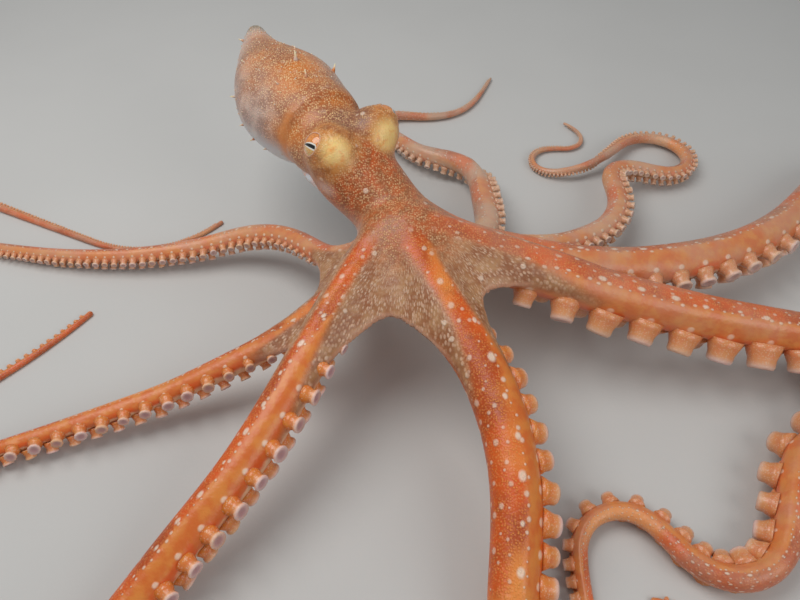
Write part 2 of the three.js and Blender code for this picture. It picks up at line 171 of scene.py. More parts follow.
# Webs, going round the crown: (arm, reach, next arm, reach, share by which the free edge falls back).
WEBS = [
    ("arm_right_1", 80, "arm_left_1", 62, 0.34),
    ("arm_left_1", 84, "arm_left_2", 84, 0.12),
    ("arm_left_2", 70, "arm_left_3", 62, 0.2),
    ("arm_left_3", 50, "arm_left_4", 36, 0.2),
    ("arm_right_4", 34, "arm_right_3", 52, 0.2),
    ("arm_right_3", 68, "arm_right_2", 96, 0.26),
    ("arm_right_2", 72, "arm_right_1", 78, 0.42),
]

# Sections of the body, (x, y, z, half width, half height), from the crown to the mantle's tip.
NECK_AND_HEAD = [
    (9, -24, 47, 18, 12), (3, -12, 51.5, 19, 16.5), (-3, 0, 56, 17.5, 17.5), (-9, 8, 61, 17, 17),
    (-21, 20, 69, 19.5, 17.5), (-27, 28, 73, 19, 17), (-33, 36, 75, 18, 16), (-38, 43, 76, 17.5, 15.5),
    (-45, 54, 75, 15, 13),
]
MANTLE = [
    (-38, 43, 76, 21, 19.5), (-42, 49, 75.5, 23.5, 21.5), (-49, 59, 74.5, 26, 23.8),
    (-57.5, 73, 74, 27.2, 25), (-66, 88, 75, 22.6, 21.2), (-73.5, 104, 77, 14.8, 14.2),
    (-78.5, 119, 79, 8.6, 8.2), (-81, 130, 80, 5, 4.6), (-81.6, 134, 80, 3, 2.6),
]
# The funnel, (x, y, z, radius outside, radius of its opening), from the mantle's edge to its mouth.
FUNNEL = [(-42, 38, 62, 7, 2.6), (-41, 26.5, 64.5, 6.4, 2.6), (-35.5, 14, 65.5, 5, 2.8)]
# The swellings that carry the eyes: (x, y, z), radius, and the way the eye looks.
EYE_SIDES = {
    "eye_right": dict(swelling=(-31.6, 17, 83), radius=12, looks=(-0.65, -0.41, 0.63)),
    "eye_left": dict(swelling=(-12.5, 33.5, 82), radius=12.2, looks=(0.6, 0.5, 0.63)),
}
SWELLINGS = [(np.array(side["swelling"], float), side["radius"]) for side in EYE_SIDES.values()]
CHEEK = dict(centre=(-42.5, 33, 73), radius=10)  # the head's side behind the right eye

FIELD_STEP = 1.4  # grid step of the body's field
FLOOR_GAP = 0.02  # height of what rests on the floor
CAMERA_PLACE = (0, -261, 290)
CAMERA_PITCH = 42  # degrees up from looking straight down
CAMERA_LENS, CAMERA_SENSOR = 33.41, 36
CAMERA_CLIP = (0.01, 20)  # nearest and farthest that it sees, in metres
KEY_PLACE, KEY_WIDTH = (-260, 40, 620), 0.5  # a light's width is in metres
FILL_PLACE, FILL_WIDTH = (420, -420, 420), 0.4
LIGHTS_AIM = (0, 0, 30)
SKY_COLOUR = (0.92, 0.96, 1.0, 1.0)
UP = np.array([0.0, 0.0, 1.0])


def unit(v):
    v = np.asarray(v, float)
    return v / np.linalg.norm(v, axis=-1, keepdims=True)


def smoothstep(low, high, x):
    t = np.clip((x - low) / (high - low), 0, 1)
    return t * t * (3 - 2 * t)


def away_from(points, centre):
    """Distance of each point from a centre."""
    return np.linalg.norm(points - centre, axis=-1)


def round_turn(sides):
    """Evenly spaced angles once round a ring."""
    return 2 * np.pi * np.arange(sides) / sides


def eye_lift(side):
    """Distance of an eye's middle from the middle of its swelling."""
    return side["radius"] - EYE_SUNK * EYE_RADIUS


def eye_centre(side):
    return np.array(side["swelling"], float) + unit(side["looks"]) * eye_lift(side)


def frame_shift():
    """How far the animal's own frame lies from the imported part's, in millimetres, from its eye."""
    low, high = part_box("eye_right")
    return np.array((low + high) / 2) / MM - eye_centre(EYE_SIDES["eye_right"])


SHIFT = frame_shift()


def placed(points):
    """Points of the animal's own frame, in the part's frame and in metres."""
    return (np.asarray(points, float) + SHIFT) * MM


# ---- Arms


def read(table, at):
    rows = np.asarray(table, float)
    return np.interp(at, rows[:, 0], rows[:, 1])


def eased(table, at, ease):
    return (read(table, at - ease) + 2 * read(table, at) + read(table, at + ease)) / 4


class Arm:
    """An arm's axis, radius, frame and sucker count along its length."""

    def __init__(self, name, row):
        self.name = name
        self.row = row
        distance, angle = [0.0], [float(row["heading"])]
        for length, turn in row["bends"]:
            distance.append(distance[-1] + length)
            angle.append(angle[-1] + turn)
        self.length = distance[-1]
        self.join = row["join"]
        self.thick = row["radius"][0] > THICK_FROM
        steps = np.arange(self.length) + 0.5
        heading = np.radians(eased(list(zip(distance, angle)), steps, BEND_EASE))
        course = np.cumsum(np.c_[np.cos(heading), np.sin(heading)], 0)
        self.plan = np.array(row["start"], float) + np.vstack([[0, 0], course])
        self.turns = list(zip(distance, angle))
        self.marks = np.arange(0, self.length + ARM_STEP, ARM_STEP)
        middles = self.marks[:-1] + ARM_STEP / 2
        running = lambda size: np.concatenate([[0], np.cumsum(ARM_STEP / size(middles))])
        self.counts, self.strides = running(self.spacing), running(self.radius)

    def radius(self, s):
        base, tip, fullness, taper = self.row["radius"]
        share = np.clip(np.asarray(s, float) / self.length, 0, 1)
        return tip + (base - tip) * np.maximum(0, 1 - share**fullness) ** taper

    def axis(self, s):
        at = np.clip(s, 0, self.length)
        marks = np.arange(len(self.plan))
        x = np.interp(at, marks, self.plan[:, 0])
        y = np.interp(at, marks, self.plan[:, 1])
        z = REST_HEIGHT * self.radius(at) + eased(self.row["lift"], at, LIFT_EASE)
        return np.stack([x, y, z], -1)

    def frame(self, s):
        """Unit vectors along the arm, to its right-hand side and out of its back."""
        s = np.asarray(s, float)
        along = unit(self.axis(s + 2) - self.axis(s - 2))
        right = unit(np.cross(along, UP))
        up = np.cross(right, along)
        turn = np.radians(eased(self.row["roll"], s, LIFT_EASE))[..., None]
        side = right * np.cos(turn) + up * np.sin(turn)
        back = up * np.cos(turn) - right * np.sin(turn)
        return along, side, back

    def spacing(self, s):
        """Distance between two suckers of one row."""
        spacing, _, _, shrinks = self.row["suckers"]
        share = self.radius(s) / self.radius(shrinks)
        return np.maximum(spacing * np.minimum(1, share), LEAST_SPACING)

    def count(self, s):
        """How many suckers of one row lie between the arm's start and a distance."""
        return np.interp(s, self.marks, self.counts)

    def distance(self, count):
        return np.interp(count, self.counts, self.marks)


LEAST_SPACING = 1.1  # distance between two suckers of a row at an arm's tip
ARM = {name: Arm(name, row) for name, row in ARMS.items()}
# Ridges and hollows along every arm: (degrees from the middle of the back, width, height in radii).
ARM_RIDGES = ((0, 30, 0.03), (64, 9, 0.035), (98, 22, -0.045), (180, 17, -0.14))
RIDGES_GROW = 30  # distance past the arm's join over which they grow
ROW_ANGLE = 148  # degrees from the middle of the back to a row of suckers
FOOT_REACH, FOOT_RISE = 0.52, 0.16  # skin raised round a sucker's foot, in its diameters and heights


def section(arm, s, angle):
    """An arm's radius at a distance and an angle from the middle of its back, in radians."""
    grown = smoothstep(arm.join, arm.join + RIDGES_GROW, s)
    degrees = np.degrees(np.abs(angle))
    ridges = sum(high * np.exp(-(((degrees - middle) / wide) ** 2)) for middle, wide, high in ARM_RIDGES)
    radius = arm.radius(s) * (1 + grown * ridges)
    spacing, diameter, height, _ = arm.row["suckers"]
    small = arm.spacing(s) / spacing
    for row in (1, -1):
        count = arm.count(s) + (0 if row > 0 else 0.5)
        off = (count - np.round(count)) * arm.spacing(s)
        across = (angle - row * np.radians(ROW_ANGLE)) * arm.radius(s)
        reach = FOOT_REACH * diameter * small
        raised = grown * FOOT_RISE * height * small
        radius = radius + raised * np.exp(-(off**2 + across**2) / reach**2)
    return radius


# ---- Field of the body, and its mesh


def smooth_min(a, b, reach):
    """The lower of two distances, rounded where they are within `reach` of each other."""
    mix = np.clip(0.5 + 0.5 * (b - a) / reach, 0, 1)
    return b * (1 - mix) + a * mix - reach * mix * (1 - mix)


def spline(rows, count):
    """Catmull-Rom reading of rows of numbers at evenly spaced places."""
    rows = np.asarray(rows, float)
    padded = np.vstack([2 * rows[0] - rows[1], rows, 2 * rows[-1] - rows[-2]])
    at = np.linspace(0, len(rows) - 1, count)
    i = np.minimum(at.astype(int), len(rows) - 2)
    t = (at - i)[:, None]
    a, b, c, d = (padded[i + k] for k in range(4))
    bent, twisted = 2 * a - 5 * b + 4 * c - d, 3 * b - a - 3 * c + d
    return 0.5 * (2 * b + (c - a) * t + bent * t**2 + twisted * t**3)


def nearest(points, centres):
    """For each point, the number of the nearest centre."""
    best = np.full(len(points), np.inf, np.float32)
    index = np.zeros(len(points), int)
    x, y, z = (np.ascontiguousarray(points[:, k]) for k in range(3))
    for i, centre in enumerate(np.asarray(centres, np.float32)):
        gap = (x - centre[0]) ** 2 + (y - centre[1]) ** 2 + (z - centre[2]) ** 2
        closer = gap < best
        np.copyto(best, gap, where=closer)
        index[closer] = i
    return index


class Loft:
    """A body of elliptical sections square to a bent axis."""

    def __init__(self, rows, count):
        rows = spline(rows, count)
        self.centres = rows[:, :3]
        self.wide, self.high = rows[:, 3], rows[:, 4]
        pace = np.linalg.norm(np.gradient(self.centres, axis=0), axis=1)
        self.widen, self.raise_by = np.gradient(self.wide) / pace, np.gradient(self.high) / pace
        self.along = unit(np.gradient(self.centres, axis=0))
        self.right = unit(np.cross(self.along, UP))
        self.up = np.cross(self.right, self.along)

    def near(self, points):
        """For each point: the nearest section, and the point's place in it."""
        index = nearest(points, self.centres)
        away = points - self.centres[index]
        local = np.stack([(away * axis[index]).sum(1) for axis in (self.right, self.up, self.along)], 1)
        return index, local

    def distance(self, points):
        index, local = self.near(points)
        last = len(self.centres) - 1
        short = np.clip(local[:, 2], np.where(index == 0, 0, -2), np.where(index == last, 0, 2))
        wide = self.wide[index] + short * self.widen[index]
        high = self.high[index] + short * self.raise_by[index]
        q = np.sqrt((local[:, 0] / wide) ** 2 + (local[:, 1] / high) ** 2) + 1e-9
        slope = np.sqrt((local[:, 0] / wide**2) ** 2 + (local[:, 1] / high**2) ** 2) / q + 1e-9
        across = np.maximum((q - 1) / slope, -np.minimum(wide, high))
        over = np.where(index == 0, -local[:, 2], np.where(index == last, local[:, 2], 0))
        over = np.maximum(over, 0)
        return np.where(over > 0, np.sqrt(np.maximum(across, 0) ** 2 + over**2), across)


# Sections of the body as solids, which the field, the colours and the papillae all read.
NECK, MANTLE_BODY = Loft(NECK_AND_HEAD, 50), Loft(MANTLE, 60)
FAR = 30.0  # a distance that stands for "nothing near"


class Grid:
    """A box of sample points with a distance at each."""

    def __init__(self, low, high, step):
        self.low, self.step = np.array(low, float), step
        self.shape = tuple(int(math.ceil((b - a) / step)) + 1 for a, b in zip(low, high))
        self.values = np.full(self.shape, FAR, np.float32)

    def window(self, low, high):
        first = np.maximum(np.floor((np.array(low) - self.low) / self.step).astype(int), 0)
        last = np.minimum(np.ceil((np.array(high) - self.low) / self.step).astype(int) + 1, self.shape)
        axes = [self.low[k] + self.step * np.arange(first[k], last[k]) for k in range(3)]
        points = np.stack(np.meshgrid(*axes, indexing="ij"), -1).astype(np.float32)
        return tuple(slice(a, b) for a, b in zip(first, last)), points

    def join(self, low, high, distance, reach, margin=12):
        """Adds a solid, whose `distance` is known inside the box from `low` to `high`.

        `reach`, over which it is rounded into the rest, may be a function of the place.
        """
        part, points = self.window(np.array(low) - margin, np.array(high) + margin)
        shape = points.shape[:3]
        flat = points.reshape(-1, 3)
        new = distance(flat).reshape(shape)
        reach = reach(flat).reshape(shape) if callable(reach) else reach
        self.values[part] = smooth_min(self.values[part], new, reach)

    def read(self, points):
        at = (points - self.low) / self.step
        at = np.clip(at, 0, np.array(self.shape) - 1.001)
        i = at.astype(int)
        t = at - i
        total = 0
        for corner in np.ndindex(2, 2, 2):
            share = np.where(corner, t, 1 - t)
            weight = share[:, 0] * share[:, 1] * share[:, 2]
            total = total + weight * self.values[tuple((i + corner).T)]
        return total

    def slope(self, points):
        half = 0.5 * self.step
        out = []
        for k in range(3):
            shift = np.zeros(3)
            shift[k] = half
            out.append((self.read(points + shift) - self.read(points - shift)) / (2 * half))
        return np.stack(out, 1)


def surface_net(grid):
    """The zero surface of a grid, as points and quads that face out."""
    field = grid.values
    inside = field < 0
    cells = tuple(n - 1 for n in field.shape)
    total = np.zeros((int(np.prod(cells)), 3))
    count = np.zeros(int(np.prod(cells)))
    quads = []
    for axis in range(3):
        o1, o2 = (axis + 1) % 3, (axis + 2) % 3
        lower = [slice(None)] * 3
        upper = [slice(None)] * 3
        lower[axis], upper[axis] = slice(0, -1), slice(1, None)
        fa, fb = field[tuple(lower)], field[tuple(upper)]
        crossing = inside[tuple(lower)] != inside[tuple(upper)]
        index = np.argwhere(crossing)
        share = (fa / np.where(fa == fb, 1, fa - fb))[crossing]
        place = index.astype(float)
        place[:, axis] += share
        corners = []
        good = np.ones(len(index), bool)
        for d1, d2 in ((-1, -1), (0, -1), (0, 0), (-1, 0)):
            cell = index.copy()
            cell[:, o1] += d1
            cell[:, o2] += d2
            good &= ((cell >= 0) & (cell < cells)).all(1)
            corners.append(cell)
        ids = []
        for cell in corners:
            flat = np.ravel_multi_index(cell[good].T, cells)
            for k in range(3):
                total[:, k] += np.bincount(flat, place[good][:, k], len(total))
            count += np.bincount(flat, minlength=len(count))
            ids.append(flat)
        ids = np.stack(ids, 1)
        outwards = inside[tuple(lower)][crossing][good]
        quads.append(np.where(outwards[:, None], ids, ids[:, ::-1]))
    quads = np.concatenate(quads)
    used = np.nonzero(count)[0]
    number = np.full(len(count), -1)
    number[used] = np.arange(len(used))
    points = grid.low + grid.step * (total[used] / count[used][:, None])
    return points, number[quads]


def relax(grid, points, quads, rounds):
    """Evens the points out over the zero surface of the grid."""
    a = np.concatenate([quads[:, k] for k in range(4)])
    b = np.concatenate([quads[:, (k + 1) % 4] for k in range(4)])
    near = np.bincount(np.concatenate([a, b]), minlength=len(points))[:, None]
    for _ in range(rounds):
        total = np.stack(
            [
                np.bincount(a, points[b, k], len(points)) + np.bincount(b, points[a, k], len(points))
                for k in range(3)
            ],
            1,
        )
        points = points + 0.6 * (total / np.maximum(near, 1) - points)
        slope = grid.slope(points)
        size = np.maximum((slope**2).sum(1), 0.1)
        off = np.clip(grid.read(points) / size, -0.6, 0.6)
        points = points - off[:, None] * slope
    return points


STUB_STEP = 2.0  # step along an arm's axis inside the crown's field


def arm_near(arm, points, last):
    """For points near an arm: distance along it, distance from its axis, and the offset from the axis."""
    marks = np.arange(0, last, STUB_STEP)
    s = marks[nearest(points, arm.axis(marks))]
    for _ in range(2):
        along, _, _ = arm.frame(s)
        s = np.clip(s + ((points - arm.axis(s)) * along).sum(1), 0, last)
    offset = points - arm.axis(s)
    return s, np.linalg.norm(offset, axis=1), offset


def stub_distance(arm, last):
    """Distance to the part of an arm that belongs to the crown's field."""

    def distance(points):
        marks = np.arange(0, last, STUB_STEP)
        x, y, z = (np.ascontiguousarray(points[:, k]) for k in range(3))
        best = np.full(len(points), np.inf, np.float32)
        for (cx, cy, cz), radius in zip(arm.axis(marks).astype(np.float32), arm.radius(marks)):
            gap = np.sqrt((x - cx) ** 2 + (y - cy) ** 2 + (z - cz) ** 2) - np.float32(radius)
            np.minimum(best, gap, out=best)
        return best

    return distance


WEB_HALF = 0.85  # half a web's thickness
WEB_GRIP = 0.85  # where a web meets an arm, in arm radii from its axis
WEB_STEEPEST = 0.45  # least share of a web's surface that is taken to face up
WEB_FROM = 0.12  # where a web's sheet begins, as a share of its reach
WEB_BEYOND = 1.15  # how far past its free edge the sheet is worked out
WEB_SLOPES = (80, 25)  # degrees up an arm's side at which a web leaves it, at the crown and at its edge
WEB_SAGS = (0.03, 0.09)  # how far its middle sags at both, as a share of its width
WEB_BLEND = 3.5  # distance over which it is rounded into the arms


def web_sheet(row, across, along, last=1.0):
    """A web's middle sheet, from one arm to the next and out to `last`, and each point's share out."""
    one, reach_one, other, reach_other, fall = row
    u = np.linspace(0, 1, across)[:, None]
    v = np.linspace(WEB_FROM, last, along)[None, :]
    inward = 4 * u * (1 - u)
    out = v * (1 - fall * inward**0.8)
    points = []
    for name, reach in ((one, reach_one), (other, reach_other)):
        arm = ARM[name]
        points.append((arm, reach * out))
    (arm_a, s_a), (arm_b, s_b) = points
    a, b = arm_a.axis(s_a), arm_b.axis(s_b)
    aim = unit((b - a) * (1, 1, 0))
    steep, flat = WEB_SLOPES
    slant = np.radians(steep - (steep - flat) * np.clip(v, 0, 1) ** 1.5) + 0 * s_a
    rise, lean = np.sin(slant)[..., None] * UP, np.cos(slant)[..., None] * aim
    a = a + WEB_GRIP * arm_a.radius(s_a)[..., None] * (rise + lean)
    b = b + WEB_GRIP * arm_b.radius(s_b)[..., None] * (rise - lean)
    sheet = a * (1 - u[..., None]) + b * u[..., None]
    width = np.linalg.norm(b - a, axis=-1)
    sheet[..., 2] -= (WEB_SAGS[0] + (WEB_SAGS[1] - WEB_SAGS[0]) * v) * width * inward
    return sheet, np.broadcast_to(v, sheet.shape[:2])


def column_sums(grid, flat, values):
    """Sums of values over the grid's upright columns, shared a little with the columns beside them."""
    total = np.bincount(flat, values, grid.shape[0] * grid.shape[1]).reshape(grid.shape[:2])
    for axis in (0, 1):
        total = 0.5 * total + 0.25 * (np.roll(total, 1, axis) + np.roll(total, -1, axis))
    return total


def join_web(grid, row):
    """Adds a web: a thin sheet, read as a range of heights over the plan, with a rounded free edge."""
    sheet, v = web_sheet(row, 260, 380, WEB_BEYOND)
    du = np.gradient(sheet, axis=0)
    dv = np.gradient(sheet, axis=1) / np.gradient(v, axis=1)[..., None]
    normal = unit(np.cross(du, dv))
    past = (v - 1) * np.linalg.norm(np.cross(unit(du), dv), axis=-1)
    columns = np.floor((sheet[..., :2] - grid.low[:2]) / grid.step + 0.5).astype(int).reshape(-1, 2)
    flat = columns[:, 0] * grid.shape[1] + columns[:, 1]
    hits = column_sums(grid, flat, np.ones(len(flat)))
    seen = hits > 0
    mean = lambda values: column_sums(grid, flat, values.ravel())[seen] / hits[seen]
    height, upright, past = mean(sheet[..., 2]), mean(np.abs(normal[..., 2])), mean(past)
    spread = np.sqrt(np.maximum(mean(sheet[..., 2] ** 2) - height**2, 0))
    i, j = np.nonzero(seen)
    z = grid.low[2] + grid.step * np.arange(grid.shape[2])
    off = np.maximum(np.abs(z[None, :] - height[:, None]) - spread[:, None], 0)
    off = off * np.maximum(upright, WEB_STEEPEST)[:, None]
    new = np.sqrt(off**2 + np.maximum(past, 0)[:, None] ** 2) - WEB_HALF
    grid.values[i, j] = smooth_min(grid.values[i, j], np.where(off < 9, new, FAR), WEB_BLEND)


# How far each solid is rounded into the rest of the field, and the room left round it there.
ARM_BLENDS = {True: 9, False: 6}  # thick arms and thin ones
ARM_ROOM = 12
NECK_BLEND, NECK_ROOM = 1, 20
SWELLING_BLEND, CHEEK_BLEND = 6, 8
MANTLE_BLENDS = (2.5, 10.5)  # at its belly and over its back
MANTLE_ROOM = 28
BODY_ROOM, CROWN_ROOM = 32, 16  # between the solids and the field's own edge
SOCKET_GAP, SOCKET_BLEND = 0.3, 1.2  # how far the skin goes in behind an eye, and how its edge is rounded


def mantle_blend(points):
    """The mantle is rounded into the head over its back, and makes a fold with it at its belly."""
    index, local = MANTLE_BODY.near(points)
    above = local[:, 1] / MANTLE_BODY.high[index] + 0.5 * local[:, 0] / MANTLE_BODY.wide[index]
    least, most = MANTLE_BLENDS
    return least + (most - least) * smoothstep(-0.3, 0.5, above)


def body_grid():
    """The field of mantle, head, neck, webs and the arms' beginnings."""
    lofts = (NECK, MANTLE_BODY)
    low = np.min([loft.centres.min(0) for loft in lofts], 0) - BODY_ROOM
    high = np.max([loft.centres.max(0) for loft in lofts], 0) + BODY_ROOM
    for arm in ARM.values():
        axis = arm.axis(np.arange(0, arm.join + 12, STUB_STEP))
        low = np.minimum(low, axis.min(0) - CROWN_ROOM)
        high = np.maximum(high, axis.max(0) + CROWN_ROOM)
    grid = Grid(low, high, FIELD_STEP)

    def join_solid(line, room, distance, blend):
        grid.join(line.min(0) - room, line.max(0) + room, distance, blend)

    def join_ball(centre, radius, blend):
        distance = lambda points: away_from(points, centre) - radius
        join_solid(np.array([centre]), radius, distance, blend)

    join_solid(NECK.centres, NECK_ROOM, NECK.distance, NECK_BLEND)
    for arm in ARM.values():
        last = arm.join + 10
        axis = arm.axis(np.arange(0, last, STUB_STEP))
        join_solid(axis, ARM_ROOM, stub_distance(arm, last), ARM_BLENDS[arm.thick])
    for row in WEBS:
        join_web(grid, row)
    for centre, radius in SWELLINGS:
        join_ball(centre, radius, SWELLING_BLEND)
    join_ball(np.array(CHEEK["centre"], float), CHEEK["radius"], CHEEK_BLEND)
    join_solid(MANTLE_BODY.centres, MANTLE_ROOM, MANTLE_BODY.distance, mantle_blend)
    for side in EYE_SIDES.values():
        middle = eye_centre(side)
        part, points = grid.window(middle - 12, middle + 12)
        room = EYE_RADIUS - SOCKET_GAP - away_from(points, middle)
        grid.values[part] = -smooth_min(-grid.values[part], -room, SOCKET_BLEND)
    return grid


def largest_piece(points, quads):
    """The mesh without the loose bits that a field can leave."""
    label = np.arange(len(points))
    while True:
        low = label[quads].min(1)
        new = label.copy()
        for k in range(4):
            np.minimum.at(new, quads[:, k], low)
        new = new[new]
        if (new == label).all():
            break
        label = new
    main = np.bincount(label).argmax()
    keep = label == main
    number = np.cumsum(keep) - 1
    return points[keep], number[quads[keep[quads[:, 0]]]]


def in_order(parts):
    """Points or edges without repeats, by number, so that every run handles them alike."""
    return sorted(set(parts), key=lambda part: part.index)


def open_ring(bm, arm):
    """The open edge's points where an arm's stub was cut."""
    bm.verts.index_update()
    ring = in_order(v for e in bm.edges if e.is_boundary for v in e.verts)
    centre, reach = Vector(arm.axis(arm.join)), arm.radius(arm.join) * 1.6 + 2
    return [v for v in ring if (v.co - centre).length < reach]


def cut_stubs(points, quads):
    """Cuts each arm's stub square at its join, and returns the mesh with the open loops."""
    bm = bmesh.new()
    verts = [bm.verts.new(p) for p in points]
    for quad in quads.tolist():
        bm.faces.new([verts[i] for i in quad])
    bm.verts.index_update()
    for arm in ARM.values():
        join = arm.join
        place = np.array([v.co for v in bm.verts])
        centre = arm.axis(join)
        close = np.nonzero(away_from(place, centre) < arm.radius(join) * 2 + 16)[0]
        s, off, _ = arm_near(arm, place[close], join + 14)
        own = set(close[(off < arm.radius(s) + 3) & (s > join - 6)].tolist())
        bm.verts.index_update()
        faces = [f for f in bm.faces if all(v.index in own for v in f.verts)]
        bm.edges.index_update()
        nodes = in_order(v for f in faces for v in f.verts)
        edges = in_order(e for f in faces for e in f.edges)
        bmesh.ops.bisect_plane(
            bm, geom=nodes + edges + faces, dist=0.12, plane_co=Vector(centre),
            plane_no=Vector(arm.frame(join)[0]), clear_outer=True,
        )
        bmesh.ops.remove_doubles(bm, verts=open_ring(bm, arm), dist=0.35)
    bm.verts.ensure_lookup_table()
    bm.verts.index_update()
    loops = {}
    for name, arm in ARM.items():
        join = arm.join
        centre, (along, side, back) = arm.axis(join), arm.frame(join)
        ring = open_ring(bm, arm)
        away = np.array([v.co for v in ring]) - centre
        angle = np.arctan2(away @ side, away @ back)
        order = np.argsort(angle)
        loops[name] = (np.array([v.index for v in ring])[order], angle[order])
    points = np.array([v.co for v in bm.verts])
    faces = [[v.index for v in f.verts] for f in bm.faces]
    bm.free()
    return points, faces, loops


def zip_loops(ids_a, angle_a, ids_b, angle_b):
    """Triangles between two closed loops whose points are sorted by angle."""
    faces = []
    i = j = 0
    while i < len(ids_a) or j < len(ids_b):
        next_a = angle_a[i + 1] if i + 1 < len(ids_a) else angle_a[0] + 2 * math.pi
        next_b = angle_b[j + 1] if j + 1 < len(ids_b) else angle_b[0] + 2 * math.pi
        a, b = ids_a[i % len(ids_a)], ids_b[j % len(ids_b)]
        if j >= len(ids_b) or (i < len(ids_a) and next_a <= next_b):
            faces.append([a, ids_a[(i + 1) % len(ids_a)], b])
            i += 1
        else:
            faces.append([a, ids_b[(j + 1) % len(ids_b)], b])
            j += 1
    return faces


def between(a, b):
    """Quads between two closed rings of point numbers."""
    return np.stack([a, np.roll(a, -1), np.roll(b, -1), b], 1).tolist()


def fan(ring, middle):
    """Triangles from a closed ring of point numbers to one point."""
    return [[int(a), int(b), middle] for a, b in zip(ring, np.roll(ring, -1))]


def arm_stations(arm):
    """Distances of the rings of an arm's own sweep."""
    s = arm.join + 1.2
    stops = []
    while s < arm.length - 1.2:
        stops.append(s)
        bend = abs(read(arm.turns, s + 3) - read(arm.turns, s - 1)) / 4
        s += min(0.45 + 0.26 * float(arm.radius(s)), 6.5 / max(bend, 0.1))
    tip = float(arm.radius(arm.length))
    return np.array(stops + [arm.length - tip * share for share in (0.85, 0.5, 0.22, 0.06)])


# Angles from the middle of the back to the middle of the sucker side, in degrees: closer together
# where a thick arm has its keel and its suckers. A thin arm has fewer.
THICK_ARM = (0, 18, 36, 51, 64, 77, 93, 109, 123, 136, 149, 164, 180)
THIN_ARM = (0, 24, 46, 66, 88, 110, 131, 150, 180)


def arm_sweep(arm):
    """Rings of points of an arm outside the crown, with each point's distance and angle."""
    s = arm_stations(arm)
    half = np.radians(THICK_ARM if arm.thick else THIN_ARM)
    angle = np.concatenate([-half[:0:-1], half[:-1]])
    s_grid, angle_grid = np.meshgrid(s, angle, indexing="ij")
    radius = section(arm, s_grid, angle_grid)
    tip = float(arm.radius(arm.length))
    over = np.clip((s - (arm.length - tip)) / tip, 0, 1)
    radius = radius * np.sqrt(1 - over**2 * 0.98)[:, None]
    _, side, back = arm.frame(s)
    ring = arm.axis(s)[:, None] + radius[..., None] * (
        back[:, None] * np.cos(angle_grid)[..., None] + side[:, None] * np.sin(angle_grid)[..., None]
    )
    return ring, s_grid, angle_grid


def skin_shape():
    """The whole skin: points, faces, and for points of the arms' own sweeps (arm, distance, angle)."""
    grid = body_grid()
    points, quads = surface_net(grid)
    points, quads = largest_piece(points, quads)
    points = relax(grid, points, quads, 4)
    points, faces, loops = cut_stubs(points, quads)
    swept = np.full((len(points), 3), -1.0)
    parts, known = [points], [swept]
    total = len(points)
    for number, (name, arm) in enumerate(ARM.items()):
        ring, s, angle = arm_sweep(arm)
        rows, sides = ring.shape[:2]
        ids = total + np.arange(rows * sides).reshape(rows, sides)
        tip = total + rows * sides
        faces += zip_loops(loops[name][0], loops[name][1], ids[0], angle[0])
        for a, b in zip(ids[:-1], ids[1:]):
            faces += between(a, b)
        faces += fan(ids[-1], tip)
        parts += [ring.reshape(-1, 3), arm.axis(arm.length)[None]]
        rows_known = np.stack([np.full(s.size, number), s.ravel(), angle.ravel()], 1)
        known += [rows_known, [[number, arm.length, 0.0]]]
        total = tip + 1
    return np.vstack(parts), faces, np.vstack(known)


# ---- Where each colour goes

CROWN_CENTRE = np.array([4.0, -14.0])
BROW = np.array([-23.0, 32.0, 89.0])  # between the eyes, where the skin is darkest
GOLD_AND_HIGHLIGHT = [((-28, 7, 90), 10), ((-5, 25, 86), 10)]  # golden patches on the fronts of the eye domes, partly their own colour and partly painted highlight: (x, y, z), radius
BELOW_EYE = np.array([-35.0, 6.0, 70.2])  # a patch of pale skin, and how it is squeezed along each axis
BELOW_SHAPE = np.array([0.9, 0.8, 1.3])
OUT_OF_REACH = 99.0  # a distance that stands for "far from every arm and web"
GAP_BEHIND = 135  # degrees round the crown at which no web grows
RAY_RADIUS = 52  # distance from the crown's centre at which turns are measured as lengths


def free_edges():
    """Points along the free edge of every web."""
    return np.vstack([web_sheet(row, 90, 30)[0][:, -1] for row in WEBS])


def arm_places(points, known):
    """For each skin point: (arm, distance, angle, gap from the arm's own surface)."""
    place = np.concatenate([known, np.zeros((len(points), 1))], 1)
    loose = np.nonzero(known[:, 0] < 0)[0]
    best = np.full(len(loose), OUT_OF_REACH)
    for number, arm in enumerate(ARM.values()):
        s, off, offset = arm_near(arm, points[loose], arm.join + 2)
        gap = off - arm.radius(s)
        closer = gap < best
        best[closer] = gap[closer]
        _, side, back = arm.frame(s)
        angle = np.arctan2((offset * side).sum(1), (offset * back).sum(1))
        found = np.stack([np.full(len(s), number), s, angle, gap], 1)
        place[loose[closer]] = found[closer]
    return place


def band_of(points, place):
    """Share of an arm's own colour at points of the body: a band on its top, all of it lower down."""
    share = np.zeros(len(points))
    for number, arm in enumerate(ARM.values()):
        own = place[:, 0] == number
        s, gap = place[own, 1], place[own, 3]
        away = points[own] - arm.axis(s)
        along = unit(arm.frame(s)[0] * (1, 1, 0))
        beside = np.abs(away[:, 0] * along[:, 1] - away[:, 1] * along[:, 0]) / arm.radius(s)
        wide = 0.42 + 0.6 * smoothstep(0.4, 1.0, s / arm.join)
        top = smoothstep(wide + 0.25, wide - 0.12, beside)
        reach = max(row[row.index(arm.name) + 1] for row in WEBS if arm.name in row)
        top *= smoothstep(16, 9, gap)
        top = np.maximum(top, smoothstep(0.85, 1.1, s / reach) * smoothstep(6, 2, gap))
        low = smoothstep(3.0, 0.6, gap) * smoothstep(0.35, -0.15, away[:, 2] / arm.radius(s))
        share[own] = np.maximum(top, low) * smoothstep(0, 16, s)
    return share


